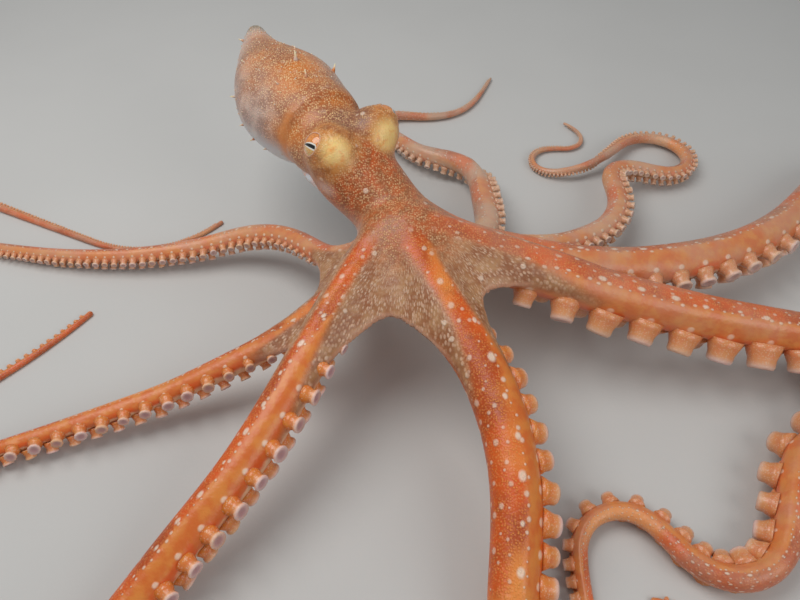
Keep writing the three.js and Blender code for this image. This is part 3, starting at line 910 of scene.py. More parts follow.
def skin_marks(points, known):
    """Named numbers at each skin point, which the skin's finish reads."""
    place = arm_places(points, known)
    number, s, angle, _ = place.T
    marks = {key: np.zeros(len(points)) for key in ("count", "girth", "pitch", "strides", "wash", "over")}
    for k, arm in enumerate(ARM.values()):
        own = number == k
        marks["count"][own] = arm.count(s[own])
        marks["girth"][own] = arm.radius(s[own])
        marks["pitch"][own] = arm.spacing(s[own])
        marks["strides"][own] = np.interp(s[own], arm.marks, arm.strides)
        marks["wash"][own] = arm.row["wash"]
        marks["over"][own] = np.abs(np.degrees(angle[own])) / arm.row["band"]
    body = known[:, 0] < 0
    neck_gap, mantle_gap = np.full((2, len(points)), FAR)
    neck_gap[body] = NECK.distance(points[body])
    mantle_gap[body] = MANTLE_BODY.distance(points[body])
    index, local = MANTLE_BODY.near(points)
    belly = local[:, 1] / MANTLE_BODY.high[index]
    flank = local[:, 0] / MANTLE_BODY.wide[index]
    on_mantle = smoothstep(3.0, 0.4, mantle_gap)
    on_head = np.zeros(len(points))
    for centre, radius in SWELLINGS:
        away = away_from(points, centre) - radius
        on_head = np.maximum(on_head, smoothstep(5.5, 0.0, away))
    cheek = away_from(points, CHEEK["centre"]) - CHEEK["radius"]
    on_head = np.maximum(on_head, smoothstep(4.0, 0.5, cheek) * (1 - on_mantle))
    on_body = np.maximum.reduce([smoothstep(5.0, 1.0, neck_gap), on_mantle, on_head])
    arm = np.where(body, band_of(points, place), 1.0)
    marks["arm"] = arm
    outwards = away_from(points[:, :2], CROWN_CENTRE)
    behind = smoothstep(-3, 5, ((points - BROW) * unit(np.array([-0.45, 0.8, -0.1]))).sum(1)) * on_body
    marks["mantle"] = np.maximum(on_mantle, behind)
    marks["web"] = (1 - arm) * (1 - smoothstep(1.5, 0.2, neck_gap)) * smoothstep(14, 34, outwards)
    marks["web"] *= (1 - marks["mantle"]) * (1 - on_head)
    marks["web"] *= smoothstep(24, 10, points[:, 1] + 0.4 * points[:, 0])
    marks["crown"] = (1 - arm) * smoothstep(38, 14, outwards) * body
    marks["head"] = on_head * (1 - on_mantle)
    marks["dusk"] = smoothstep(16, 6, away_from(points, BROW)) * (1 - 0.6 * on_mantle)
    # Golden patches on the fronts of the eye domes, partly their own colour and partly painted highlight.
    marks["gold"] = np.zeros(len(points))
    for centre, radius in GOLD_AND_HIGHLIGHT:
        patch = smoothstep(1.1 * radius, 0.3 * radius, away_from(points, centre))
        marks["gold"] = np.maximum(marks["gold"], patch)
    along = index / (len(MANTLE_BODY.centres) - 1)
    edge = np.abs(flank) ** 2.4 + 0.8 * smoothstep(0.55, 0.85, along)
    marks["edge"] = np.clip(edge, 0, 1) * on_mantle * smoothstep(0.0, 0.26, along)
    marks["collar"] = smoothstep(0.1, 0.0, along) * on_mantle * smoothstep(-0.35, -0.8, flank)
    marks["tail"] = smoothstep(0.72, 0.9, along) * on_mantle
    marks["belly"] = smoothstep(0.15, -0.35, belly) * on_mantle
    low = smoothstep(4, -10, points[:, 2] - (67 + 0.3 * (points[:, 1] - 10)))
    marks["pale"] = low * (1 - on_mantle) * on_body * (1 - arm)
    patch = smoothstep(8.0, 1.0, away_from(points * BELOW_SHAPE, BELOW_EYE * BELOW_SHAPE)) * body
    marks["pale"] = np.maximum(marks["pale"], patch)
    rim = np.full(len(points), OUT_OF_REACH)
    near_web = np.nonzero(body & (neck_gap > 1) & (mantle_gap > 3))[0]
    edges = free_edges()
    rim[near_web] = away_from(points[near_web], edges[nearest(points[near_web], edges)])
    marks["rim"] = smoothstep(2.2, 0.7, rim)
    marks["back"] = np.cos(angle)
    marks["side"] = np.sin(angle)
    away = points[:, :2] - CROWN_CENTRE
    turn = (np.degrees(np.arctan2(away[:, 1], away[:, 0])) - GAP_BEHIND) % 360
    marks["ray"] = np.stack([np.radians(turn) * RAY_RADIUS, outwards, points[:, 2]], 1)
    return marks


# ---- Making objects


def new_object(name, mesh):
    made = bpy.data.objects.new(name, mesh)
    bpy.context.scene.collection.objects.link(made)
    return made


def new_mesh(name, points, faces):
    """A smooth mesh of points in the animal's own frame."""
    mesh = bpy.data.meshes.new(name)
    mesh.from_pydata(placed(points).tolist(), [], [list(map(int, f)) for f in faces])
    mesh.validate()
    mesh.shade_smooth()
    return mesh


def mark(mesh, name, values):
    """Writes one number, or one vector, at each point of a mesh."""
    values = np.asarray(values, np.float32)
    if values.ndim == 1:
        mesh.attributes.new(name, "FLOAT", "POINT").data.foreach_set("value", values)
    else:
        mesh.attributes.new(name, "FLOAT_VECTOR", "POINT").data.foreach_set("vector", values.ravel())


def face_outwards(mesh):
    bm = bmesh.new()
    bm.from_mesh(mesh)
    bmesh.ops.recalc_face_normals(bm, faces=bm.faces)
    bm.to_mesh(mesh)
    bm.free()


def finish_piece(made, material, replaces=()):
    """Gives a piece its finish, hangs it on the root body and hides the parts that it replaces."""
    made.data.materials.clear()
    made.data.materials.append(material)
    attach(made, "root")
    if replaces:
        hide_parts(*replaces)


def numbered(rings):
    """Numbers of the points of rings of equal length, row by row."""
    rows, sides = rings.shape[:2]
    return np.arange(rows * sides).reshape(rows, sides)


def strip(rings):
    """Quads between closed rings of equal length."""
    ids = numbered(rings)
    return [quad for a, b in zip(ids[:-1], ids[1:]) for quad in between(a, b)]


# ---- Finishes


def tint(code):
    """A linear colour from its usual six-figure code."""
    parts = [int(code[i : i + 2], 16) / 255 for i in (0, 2, 4)]
    return tuple(c / 12.92 if c <= 0.04045 else ((c + 0.055) / 1.055) ** 2.4 for c in parts) + (1.0,)


class Nodes:
    """A node tree being put together."""

    def __init__(self, tree):
        self.tree = tree

    def put(self, value, socket):
        if isinstance(value, bpy.types.NodeSocket):
            self.tree.links.new(value, socket)
        else:
            socket.default_value = value

    def add(self, kind, inputs=(), **settings):
        """A new node with its settings and inputs."""
        made = self.tree.nodes.new(kind)
        for key, value in settings.items():
            setattr(made, key, value)
        for key, value in dict(inputs).items():
            self.put(value, made.inputs[key])
        return made

    def node(self, kind, inputs=(), output=0, **settings):
        """One output of a new node."""
        return self.add(kind, inputs, **settings).outputs[output]

    def sum(self, operation, a, b=0.0, c=0.0):
        return self.node("ShaderNodeMath", {0: a, 1: b, 2: c}, operation=operation)

    def times(self, a, b):
        return self.sum("MULTIPLY", a, b)

    def higher(self, a, b):
        return self.sum("MAXIMUM", a, b)

    def rest_of(self, share):
        return self.sum("SUBTRACT", 1.0, share)


class Finish(Nodes):
    """A material being put together from nodes."""

    def __init__(self, name, **shader):
        self.material = bpy.data.materials.new(name)
        self.material.use_nodes = True
        super().__init__(self.material.node_tree)
        self.tree.nodes.clear()
        self.output = self.tree.nodes.new("ShaderNodeOutputMaterial")
        self.shader = self.tree.nodes.new("ShaderNodeBsdfPrincipled")
        self.tree.links.new(self.shader.outputs[0], self.output.inputs["Surface"])
        for key, value in shader.items():
            self.shader.inputs[key.replace("_", " ")].default_value = value
        self.cache = {}

    def mark(self, name, vector=False):
        """What each point of the mesh knows under a name."""
        key = (name, vector)
        if key not in self.cache:
            output = "Vector" if vector else "Fac"
            self.cache[key] = self.node("ShaderNodeAttribute", output=output, attribute_name=name)
        return self.cache[key]

    def place(self):
        """The point on the object, in millimetres."""
        if "place" not in self.cache:
            point = self.node("ShaderNodeTexCoord", output="Object")
            self.cache["place"] = self.node(
                "ShaderNodeVectorMath", {0: point, "Scale": 1000.0}, operation="SCALE"
            )
        return self.cache["place"]

    def step(self, value, low, high, first=0.0, last=1.0):
        """Rises smoothly from `first` at `low` to `last` at `high`."""
        inputs = {"Value": value, "From Min": low, "From Max": high, "To Min": first, "To Max": last}
        return self.node("ShaderNodeMapRange", inputs, interpolation_type="SMOOTHSTEP")

    def blend(self, share, a, b):
        """A colour that goes from `a` to `b` with a share."""
        return self.node("ShaderNodeMix", {0: share, 6: a, 7: b}, output=2, data_type="RGBA")

    def noise(self, size, detail=2.0):
        """Cloudy numbers about 0.5, with features of a size in millimetres."""
        inputs = {"Vector": self.place(), "Scale": 1.0 / size, "Detail": detail, "Roughness": 0.5}
        return self.node("ShaderNodeTexNoise", inputs)

    def grains(self, size):
        """Distance from the nearest grain's middle, in grains."""
        inputs = {"Vector": self.place(), "Scale": 1.0 / size, "Randomness": 1.0}
        return self.node("ShaderNodeTexVoronoi", inputs)

    def paint(self, colour):
        self.put(colour, self.shader.inputs["Base Color"])

    def roughen(self, roughness):
        self.put(roughness, self.shader.inputs["Roughness"])

    def raised(self, height, depth):
        """Makes a height show as relief of a depth in metres."""
        inputs = {"Height": height, "Distance": depth, "Strength": 1.0}
        self.put(self.node("ShaderNodeBump", inputs), self.shader.inputs["Normal"])


# White spots along an arm: (place between the middle of its back, 0, and the edge of its band, 1,
# distance between two, radius along and across, all in arm radii, unevenness of its place, strength).
SPOT_ROWS = (
    (0.18, 1.15, 0.12, 0.1, 0.5, 0.7), (0.5, 0.8, 0.09, 0.08, 0.5, 0.6),
    (0.84, 1.5, 0.17, 0.12, 0.25, 1.0), (1.03, 0.46, 0.09, 0.08, 0.3, 0.8),
)
FOOT_SPOT = (114, 0.17, 0.16, 0.9)  # degrees, radius along and across and strength at a sucker's foot


WEB_STREAKS = (1.0, 0.5, 0.3)  # how a web's granules are drawn out: round the crown, outwards, upwards


def spot(f, along, across, size, strength):
    """A round spot, from how far along and across its middle lies."""
    away = f.sum("SQRT", f.sum("MULTIPLY_ADD", along, along, f.times(across, across)))
    return f.step(f.sum("DIVIDE", away, size), 1.25, 0.5, 0.0, strength)


def spots_of(f):
    """Rows of white spots on both sides of each arm, uneven in size and place."""
    near_side = f.sum("GREATER_THAN", f.mark("side"), 0.0)
    turn = f.sum("ABSOLUTE", f.sum("ARCTAN2", f.mark("side"), f.mark("back")))
    at = f.sum("MULTIPLY_ADD", near_side, 0.5, f.mark("count"))
    along = f.times(f.sum("SUBTRACT", f.sum("FRACT", at), 0.5), f.mark("pitch"))
    degrees, long, wide, strength = FOOT_SPOT
    along = f.sum("DIVIDE", along, f.times(f.mark("girth"), long))
    across = f.sum("DIVIDE", f.sum("SUBTRACT", turn, math.radians(degrees)), wide)
    total = spot(f, along, across, 1.0, strength)
    for number, (share, apart, long, wide, loose, strength) in enumerate(SPOT_ROWS):
        at = f.sum("MULTIPLY_ADD", f.mark("strides"), 1 / apart, f.times(near_side, 0.5))
        seed = f.sum("ADD", f.sum("FLOOR", at), f.sum("MULTIPLY_ADD", near_side, 41.0, number * 97.0))
        random = f.node("ShaderNodeTexWhiteNoise", {"W": seed}, output="Color", noise_dimensions="1D")
        parts = f.add("ShaderNodeSeparateXYZ", {0: random})
        middle = f.sum("MULTIPLY_ADD", parts.outputs[0], loose, 0.5 - loose / 2)
        along = f.times(f.sum("SUBTRACT", f.sum("FRACT", at), middle), apart / long)
        middle = f.sum("MULTIPLY_ADD", parts.outputs[1], loose * 0.6, share - loose * 0.3)
        across = f.sum("DIVIDE", f.sum("SUBTRACT", f.mark("over"), middle), wide)
        size = f.sum("MULTIPLY_ADD", parts.outputs[2], 0.8, 0.5)
        total = f.higher(total, spot(f, along, across, size, strength))
    return total


def granules_of(f, size, at=None):
    """Dense round granules, each with its own strength."""
    inputs = {"Vector": at or f.place(), "Scale": 1.0 / size, "Randomness": 0.85}
    cells = f.add("ShaderNodeTexVoronoi", inputs)
    parts = f.add("ShaderNodeSeparateXYZ", {0: cells.outputs["Color"]})
    dot = f.step(cells.outputs["Distance"], 0.62, 0.25)
    return f.times(dot, f.step(parts.outputs[0], 0.0, 0.8, 0.3, 1.0))


def arm_colour(f, look, over, ragged):
    """An arm's granular back, a bright smooth stripe along its flank that is partly its own paler colour
    and partly painted highlight, and its mottled sucker side.
    """
    broad, fine = f.noise(26.0, 3.0), f.noise(6.0, 3.0)
    orange = f.blend(f.step(broad, 0.36, 0.6), look.rust, look.orange)
    orange = f.blend(f.step(f.noise(37.0, 2.0), 0.52, 0.68, 0.0, 0.8), orange, look.amber)
    orange = f.blend(f.step(fine, 0.58, 0.78, 0.0, 0.5), orange, look.umber)
    # The flank stripe: paler smooth skin, partly painted highlight.
    flank = f.blend(f.step(fine, 0.35, 0.65), look.peach, look.apricot)
    low = f.blend(f.step(f.noise(8.0, 2.0), 0.4, 0.6), look.orange, look.peach)
    flank = f.blend(f.step(ragged, -0.35, -0.6), flank, low)
    dorsal = f.step(over, 1.12, 0.88)
    colour = f.blend(dorsal, flank, orange)
    return f.blend(f.step(ragged, -0.8, -0.97), colour, look.shell), dorsal


def mantle_colour(f, look):
    """The mantle: orange-brown over its back, pale grey at its edges, grey-green tip, pale underside."""
    coat = f.blend(f.step(f.noise(22.0, 3.0), 0.38, 0.62), look.mantle_rust, look.mantle_orange)
    margin = f.blend(f.step(f.noise(12.0, 2.0), 0.4, 0.6), look.taupe, look.dove)
    coat = f.blend(f.times(f.mark("edge"), 0.85), coat, margin)
    coat = f.blend(f.times(f.mark("tail"), 0.95), coat, look.moss)
    coat = f.blend(f.times(f.mark("belly"), 0.9), coat, look.ice)
    return f.blend(f.times(f.mark("collar"), 0.8), coat, look.collar)


def skin_finish(look, name="octopus_skin"):
    """The skin: granular orange back, smooth flanks, brown webs, gold head, grey-edged mantle, with
    painted highlight on the flanks and on the fronts of the eye domes.
    """
    f = Finish(
        name, Roughness=0.45, Coat_Weight=0.15, Coat_Roughness=0.3, Subsurface_Weight=0.1,
        Subsurface_Scale=0.0025, Subsurface_Radius=(1.0, 0.35, 0.15),
    )
    arm, web, head, mantle = (f.mark(name) for name in ("arm", "web", "head", "mantle"))
    ragged = f.sum("MULTIPLY_ADD", f.sum("SUBTRACT", f.noise(5.0, 3.0), 0.5), 0.4, f.mark("back"))
    wavy = f.sum("MULTIPLY_ADD", f.sum("SUBTRACT", f.noise(5.0, 3.0), 0.5), 0.5, f.mark("over"))
    colour, dorsal = arm_colour(f, look, wavy, ragged)
    neck = f.blend(f.step(f.noise(4.0, 3.0), 0.3, 0.7, 0.0, 0.55), look.umber, look.orange)
    neck = f.blend(0.12, neck, look.peach)
    between_arms = f.blend(0.5, look.web_brown, look.web_grey)
    neck = f.blend(f.times(f.mark("crown"), 0.28), neck, between_arms)
    colour = f.blend(arm, neck, colour)
    web_colour = f.blend(f.step(f.noise(8.0, 3.0), 0.35, 0.7), look.web_brown, look.web_grey)
    colour = f.blend(web, colour, web_colour)
    honey = f.blend(f.step(f.noise(5.0, 2.0), 0.3, 0.7, 0.3, 1.0), look.umber, look.honey)
    colour = f.blend(head, colour, f.blend(0.75, colour, honey))
    # Golden patches on the eye domes, partly painted highlight.
    gold = f.blend(f.step(f.noise(4.0, 3.0), 0.3, 0.52, 0.3, 1.0), look.amber, look.gold)
    colour = f.blend(f.mark("gold"), colour, gold)
    colour = f.blend(mantle, colour, mantle_colour(f, look))
    colour = f.blend(f.times(f.mark("dusk"), 0.7), colour, look.dusk)
    colour = f.blend(f.times(f.mark("pale"), 0.75), colour, look.blush)
    colour = f.blend(f.times(f.mark("lip"), 0.7), colour, look.lid)

    back = f.higher(dorsal, f.rest_of(arm))
    ray = f.mark("ray", vector=True)
    rayed = f.node("ShaderNodeVectorMath", {0: ray, 1: WEB_STREAKS}, operation="MULTIPLY")
    even, streaked = granules_of(f, look.granule), granules_of(f, look.granule, rayed)
    dots = f.times(even, f.rest_of(web))
    dots = f.sum("MULTIPLY_ADD", streaked, web, dots)
    bare = f.higher(f.mark("collar"), f.mark("belly"))
    dots = f.times(f.times(dots, back), f.sum("MULTIPLY_ADD", bare, -0.8, 1.0))
    dots = f.times(dots, f.step(f.noise(5.0, 2.0), 0.3, 0.6, 0.55, 1.0))
    outer = f.times(f.step(f.mark("girth"), 9.0, 5.0, 0.0, 0.5), arm)
    # Granules fade under the golden patches, which are partly painted highlight.
    outer = f.higher(outer, f.times(f.mark("gold"), 0.6))
    dots = f.times(dots, f.rest_of(outer))
    pale = f.blend(arm, look.granule_tint, look.amber)
    pale = f.blend(web, pale, look.web_granule)
    pale = f.blend(f.times(mantle, f.mark("edge")), pale, look.blush)
    bright = f.sum("MULTIPLY_ADD", f.higher(web, mantle), 0.3, look.granule_strength)
    bright = f.sum("MULTIPLY_ADD", arm, -0.06, bright)
    colour = f.blend(f.times(dots, bright), colour, pale)

    spots = f.times(spots_of(f), arm)
    loose = f.step(f.grains(9.0), 0.17, 0.09, 0.0, 0.75)
    plain = f.higher(f.times(mantle, 0.75), f.mark("gold"))
    loose = f.times(loose, f.rest_of(f.higher(arm, plain)))
    spots = f.higher(spots, f.times(loose, f.rest_of(bare)))
    colour = f.blend(f.times(spots, look.spot_strength), colour, look.spot)
    colour = f.blend(f.times(f.mark("rim"), 0.8), colour, look.web_rim)
    washed = f.times(f.mark("wash"), f.step(f.noise(18.0, 2.0), 0.4, 0.6, 0.5, 1.15))
    colour = f.blend(f.times(washed, arm), colour, look.faded)
    f.paint(colour)

    f.roughen(f.step(dots, 0.0, 1.0, look.wetness, look.wetness + 0.14))
    height = f.sum("MULTIPLY_ADD", spots, 0.9, f.times(dots, 0.7))
    height = f.sum("MULTIPLY_ADD", f.noise(1.8, 3.0), 0.8, height)
    f.raised(height, look.granule_height)
    return f.material


def sucker_finish(look):
    """A sucker: orange walls that pale towards a pinkish rim, and a cup darkened towards its middle with
    mauve painted shade.
    """
    f = Finish(
        "octopus_sucker", Roughness=0.38, Coat_Weight=0.25, Coat_Roughness=0.2, Subsurface_Weight=0.2,
        Subsurface_Scale=0.002, Subsurface_Radius=(1.0, 0.5, 0.35),
    )
    tall, middle, tone = f.mark("tall"), f.mark("middle"), f.mark("tone")
    wall = f.blend(f.step(f.noise(3.0, 2.0), 0.35, 0.65), look.apricot, look.sucker_wall)
    wall = f.blend(f.step(tall, 0.15, 0.85), wall, look.sucker_neck)
    pale = f.blend(tone, look.sucker_rim, look.shell)
    colour = f.blend(f.step(tall, 0.55, 0.95), wall, pale)
    colour = f.blend(f.step(f.grains(0.9), 0.42, 0.2, 0.0, 0.35), colour, look.spot)
    # Painted shade: the cup's hollow darkens towards its middle.
    colour = f.blend(f.times(f.step(middle, 0.8, 0.25), 0.75), colour, look.cup_and_bore_shade)
    f.paint(f.blend(f.mark("wash"), colour, look.faded))
    f.roughen(f.step(tall, 0.5, 1.0, 0.32, 0.5))
    f.raised(f.noise(1.2, 3.0), 0.0002)
    return f.material


SLIT_HALF = (-4.2, 2.2, 0.28, 0.85)  # a pupil's thin end and blunt end, and half its height at each
SLIT_REACH, SLIT_ENDS = 3.4, 6.0  # where its ends begin, and how bluntly they close
SLIT_BEND = 0.022  # how far it sags to both sides


def eye_finish(look):
    """An eye: a level slit pupil with a white border, an amber iris that is paler below."""
    f = Finish("octopus_eye", Roughness=0.18, Coat_Weight=1.0, Coat_Roughness=0.03, IOR=1.38)
    across, height = f.mark("across"), f.mark("height")
    bend = f.times(f.times(across, across), SLIT_BEND)
    level = f.sum("ADD", height, bend)
    thick = f.sum("DIVIDE", level, f.step(across, *SLIT_HALF))
    past = f.higher(f.sum("SUBTRACT", f.sum("ABSOLUTE", across), SLIT_REACH), 0.0)
    ends = f.times(f.times(past, past), SLIT_ENDS)
    away = f.sum("SQRT", f.sum("ADD", f.times(thick, thick), ends))
    speckle = f.step(f.noise(0.7, 3.0), 0.35, 0.65)
    above = f.blend(speckle, look.iris, look.amber)
    below = f.blend(speckle, look.iris_low, look.honey)
    iris = f.blend(f.step(level, -1.8, 1.6), below, above)
    iris = f.blend(f.step(f.grains(0.8), 0.3, 0.1, 0.0, 0.5), iris, look.taupe)
    border = f.blend(f.step(away, 2.0, 1.5), iris, look.eye_white)
    f.paint(f.blend(f.step(away, 1.15, 0.85), border, look.pupil))
    f.raised(f.noise(0.9, 2.0), 0.00004)
    return f.material


def funnel_finish(look):
    """The funnel: smooth, browner at its start, pale towards its mouth, with its bore in shade."""
    f = Finish(
        "octopus_funnel", Roughness=0.35, Coat_Weight=0.25, Coat_Roughness=0.2, Subsurface_Weight=0.25,
        Subsurface_Scale=0.004, Subsurface_Radius=(1.0, 0.5, 0.4),
    )
    pale = f.blend(f.step(f.noise(6.0, 3.0), 0.35, 0.65), look.ice, look.blush)
    colour = f.blend(f.step(f.mark("onwards"), 0.1, 0.8), f.blend(0.3, look.blush, look.honey), pale)
    colour = f.blend(f.step(f.grains(1.3), 0.3, 0.12, 0.0, 0.6), colour, look.peach)
    # Painted shade in the bore, in the colour of the shade inside a sucker's cup.
    f.paint(f.blend(f.times(f.mark("bore"), 0.7), colour, look.cup_and_bore_shade))
    f.roughen(f.step(f.noise(3.0, 2.0), 0.3, 0.7, 0.28, 0.42))
    f.raised(f.noise(1.5, 3.0), 0.00025)
    return f.material


def papilla_finish(look):
    """The papillae: pale yellow tips on skin-coloured feet."""
    f = Finish(
        "octopus_papilla", Roughness=0.5, Subsurface_Weight=0.2, Subsurface_Scale=0.002,
        Subsurface_Radius=(1.0, 0.5, 0.3),
    )
    foot = f.blend(f.mark("tone"), look.mantle_orange, look.dove)
    tip = f.blend(f.step(f.noise(1.0, 2.0), 0.35, 0.65), look.papilla, look.spot)
    f.paint(f.blend(f.step(f.mark("tall"), 0.15, 0.7), foot, tip))
    f.roughen(f.step(f.mark("tall"), 0.0, 1.0, 0.42, 0.6))
    f.raised(f.noise(0.7, 2.0), 0.00015)
    return f.material


def floor_finish(look):
    """A plain pale floor."""
    f = Finish("studio_floor", Roughness=0.85)
    mottle = f.step(f.noise(90.0, 2.0), 0.3, 0.7, 0.0, 0.12)
    f.paint(f.blend(mottle, look.floor, look.floor_shade))
    f.raised(f.noise(1.5, 2.0), 0.00005)
    return f.material


# ---- Geometry Nodes


class Tree(Nodes):
    """A Geometry Nodes tree being put together, which ends in realized instances with one finish."""

    def __init__(self, name, inputs):
        super().__init__(bpy.data.node_groups.new(name, "GeometryNodeTree"))
        face = self.tree.interface
        face.new_socket("Geometry", in_out="INPUT", socket_type="NodeSocketGeometry")
        face.new_socket("Geometry", in_out="OUTPUT", socket_type="NodeSocketGeometry")
        self.ids = {}
        for label, kind in inputs:
            made = face.new_socket(label, in_out="INPUT", socket_type="NodeSocket" + kind)
            self.ids[label] = made.identifier
        self.source = self.tree.nodes.new("NodeGroupInput")

    def take(self, label):
        return self.source.outputs[label]

    def mark(self, name):
        return self.node("GeometryNodeInputNamedAttribute", {"Name": name}, data_type="FLOAT_VECTOR")

    def random(self, low, high, offset):
        """A random number for each point or instance, drawn with the tree's seed."""
        inputs = {2: low, 3: high, "Seed": self.sum("ADD", self.take("Seed"), float(offset))}
        return self.node("FunctionNodeRandomValue", inputs, output=1, data_type="FLOAT")

    def end(self, instances):
        """Keeps what the instances make above the floor, realizes it and gives it the finish."""
        solid = self.node("GeometryNodeRealizeInstances", {"Geometry": instances})
        x, y, z = self.add("ShaderNodeSeparateXYZ", {0: self.node("GeometryNodeInputPosition")}).outputs
        above = self.node("ShaderNodeCombineXYZ", {0: x, 1: y, 2: self.higher(z, self.take("Floor"))})
        inputs = {"Geometry": solid, "Position": above}
        flat = self.node("GeometryNodeSetPosition", inputs)
        done = self.node("GeometryNodeSetMaterial", {"Geometry": flat, "Material": self.take("Finish")})
        self.add("NodeGroupOutput", {"Geometry": done})


def run_tree(tree, name, mesh, values):
    """Runs a tree on a mesh, with its inputs set by identifier, and returns a plain mesh object."""
    carrier = new_object(name + "_points", mesh)
    modifier = carrier.modifiers.new(name, "NODES")
    modifier.node_group = tree.tree
    for label, value in values.items():
        modifier[tree.ids[label]] = value
    bpy.context.view_layer.update()
    ready = carrier.evaluated_get(bpy.context.evaluated_depsgraph_get())
    made = new_object(name, bpy.data.meshes.new_from_object(ready))
    made.data.shade_smooth()
    carrier.modifiers.remove(modifier)
    bpy.data.objects.remove(carrier)
    return made


def sprouts_tree():
    """One template on each point, turned to face the way the point says, a little unevenly."""
    inputs = [("Template", "Object"), ("Unevenness", "Float"), ("Tilt", "Float"), ("Seed", "Int"),
              ("Floor", "Float"), ("Finish", "Material")]
    t = Tree("octopus_sprouts", inputs)
    turned = t.node("FunctionNodeAlignRotationToVector", {"Vector": t.mark("facing")}, axis="Z")
    inputs = {"Rotation": turned, "Vector": t.mark("along")}
    turned = t.node("FunctionNodeAlignRotationToVector", inputs, axis="X", pivot_axis="Z")
    tilt = t.take("Tilt")
    minus = t.times(tilt, -1.0)
    tips = {0: t.random(minus, tilt, 1), 1: t.random(minus, tilt, 2), 2: t.random(minus, tilt, 3)}
    tipped = t.node("FunctionNodeEulerToRotation", {0: t.node("ShaderNodeCombineXYZ", tips)})
    inputs = {"Rotation": turned, "Rotate By": tipped}
    turned = t.node("FunctionNodeRotateRotation", inputs, rotation_space="LOCAL")
    uneven = t.take("Unevenness")
    scale = {0: t.mark("size"), "Scale": t.random(t.rest_of(uneven), t.sum("ADD", 1.0, uneven), 4)}
    shape = t.node("GeometryNodeObjectInfo", {"Object": t.take("Template")}, output="Geometry")
    inputs = {
        "Points": t.take("Geometry"), "Instance": shape, "Rotation": turned,
        "Scale": t.node("ShaderNodeVectorMath", scale, operation="SCALE"),
    }
    placed_ones = t.node("GeometryNodeInstanceOnPoints", inputs)
    inputs = {"Geometry": placed_ones, "Name": "tone", "Value": t.random(0.0, 1.0, 5)}
    toned = t.node("GeometryNodeStoreNamedAttribute", inputs, data_type="FLOAT", domain="INSTANCE")
    t.end(toned)
    return t


# ---- Suckers and papillae

# A sucker's outline from its foot to its cup: (distance from its axis, height), in diameters and heights.
STOUT_SUCKER = [(0.66, -0.3), (0.58, 0.08), (0.48, 0.48), (0.47, 0.84), (0.41, 0.98), (0.24, 0.9)]
SLIM_SUCKER = [(0.58, -0.3), (0.46, 0.12), (0.37, 0.48), (0.46, 0.8), (0.43, 0.97), (0.22, 0.9)]
SUCKER_PIT = 0.78  # height of the cup's bottom
SUCKERS_FROM = 30  # distance from the arm's start to its first sucker
SUCKERS_END = 2.5  # bare length of its tip
SUCKERS_GROW = (25, 85)  # the first ones grow between these distances
SUCKERS_LEAST, SUCKERS_GAIN = 0.55, 0.45  # their share of full size, and what they gain
SPROUT_MARGIN = 0.9  # how far suckers and papillae end inside the part's own box
SPROUT_LEAST = 0.4  # and their least height
SUCKER_LEAN = 0.3  # how far a sucker leans from its row towards the middle of the arm's underside
# A papilla's outline: (distance from its axis, height), and how far it bends over.
PAPILLA_OUTLINE = [(0.5, -0.25), (0.36, 0.12), (0.22, 0.4), (0.15, 0.72), (0.07, 0.94)]
PAPILLA_BEND = 0.35
PAPILLA_LEAN = 0.25  # how far they lean towards the mantle's tip
PAPILLA_UNEVENNESS, PAPILLA_TILT = 0.15, 0.2
PAPILLA_SEED = 50  # added to the seed, so that they differ from the suckers
# The large ones: (share of the mantle's length, degrees from its ridge, height).
PAPILLAE = [
    (0.32, 8, 5), (0.19, 4, 4), (0.31, 56, 4), (0.47, -88, 2.6), (0.37, -104, 2.4), (0.32, -116, 2.4),
    (0.24, -116, 2.2), (0.76, -68, 2.6), (0.44, 22, 1.8), (0.24, -26, 1.8), (0.5, -42, 1.8),
    (0.36, 96, 2.2),
]
SMALL_PAPILLAE = 170


def turned_template(name, outline, top, sides, bend=0.0):
    """A small closed body turned from an outline, whose points know their height and place."""
    angle = round_turn(sides)
    rings = []
    for radius, height in outline:
        across = radius * np.cos(angle) + bend * max(height, 0) ** 2
        rings.append(np.stack([across, radius * np.sin(angle), np.full(sides, height)], 1))
    points = np.vstack(rings + [[[bend * top**2, 0, top]]])
    rings = np.array(rings)
    faces = strip(rings) + fan(numbered(rings)[-1], len(points) - 1)
    faces.append(list(range(sides))[::-1])
    mesh = bpy.data.meshes.new(name)
    mesh.from_pydata(points.tolist(), [], faces)
    rings_of = np.array([radius for radius, _ in outline for _ in range(sides)] + [0.0])
    mark(mesh, "tall", points[:, 2])
    mark(mesh, "middle", rings_of / max(radius for radius, _ in outline))
    made = new_object(name, mesh)
    made.hide_render = True
    return made


def points_mesh(name, place, **marks):
    """Loose points in the part's frame, with what the tree reads at each."""
    mesh = bpy.data.meshes.new(name)
    mesh.from_pydata(placed(place).tolist(), [], [])
    for key, values in marks.items():
        mark(mesh, key, values)
    return mesh


def fitted(place, facing, size):
    """Sizes of sprouts, with those shortened that would stand out of the part's own box."""
    low, high = (np.array(corner) / MM - SHIFT for corner in CAD_BOX)
    steep = np.where(np.abs(facing) < 1e-6, 1e-6, facing)
    room = np.where(steep > 0, (high - place) / steep, (low - place) / steep).min(1)
    size[:, 2] = np.minimum(size[:, 2], np.maximum(room - SPROUT_MARGIN, SPROUT_LEAST) * MM)
    return size


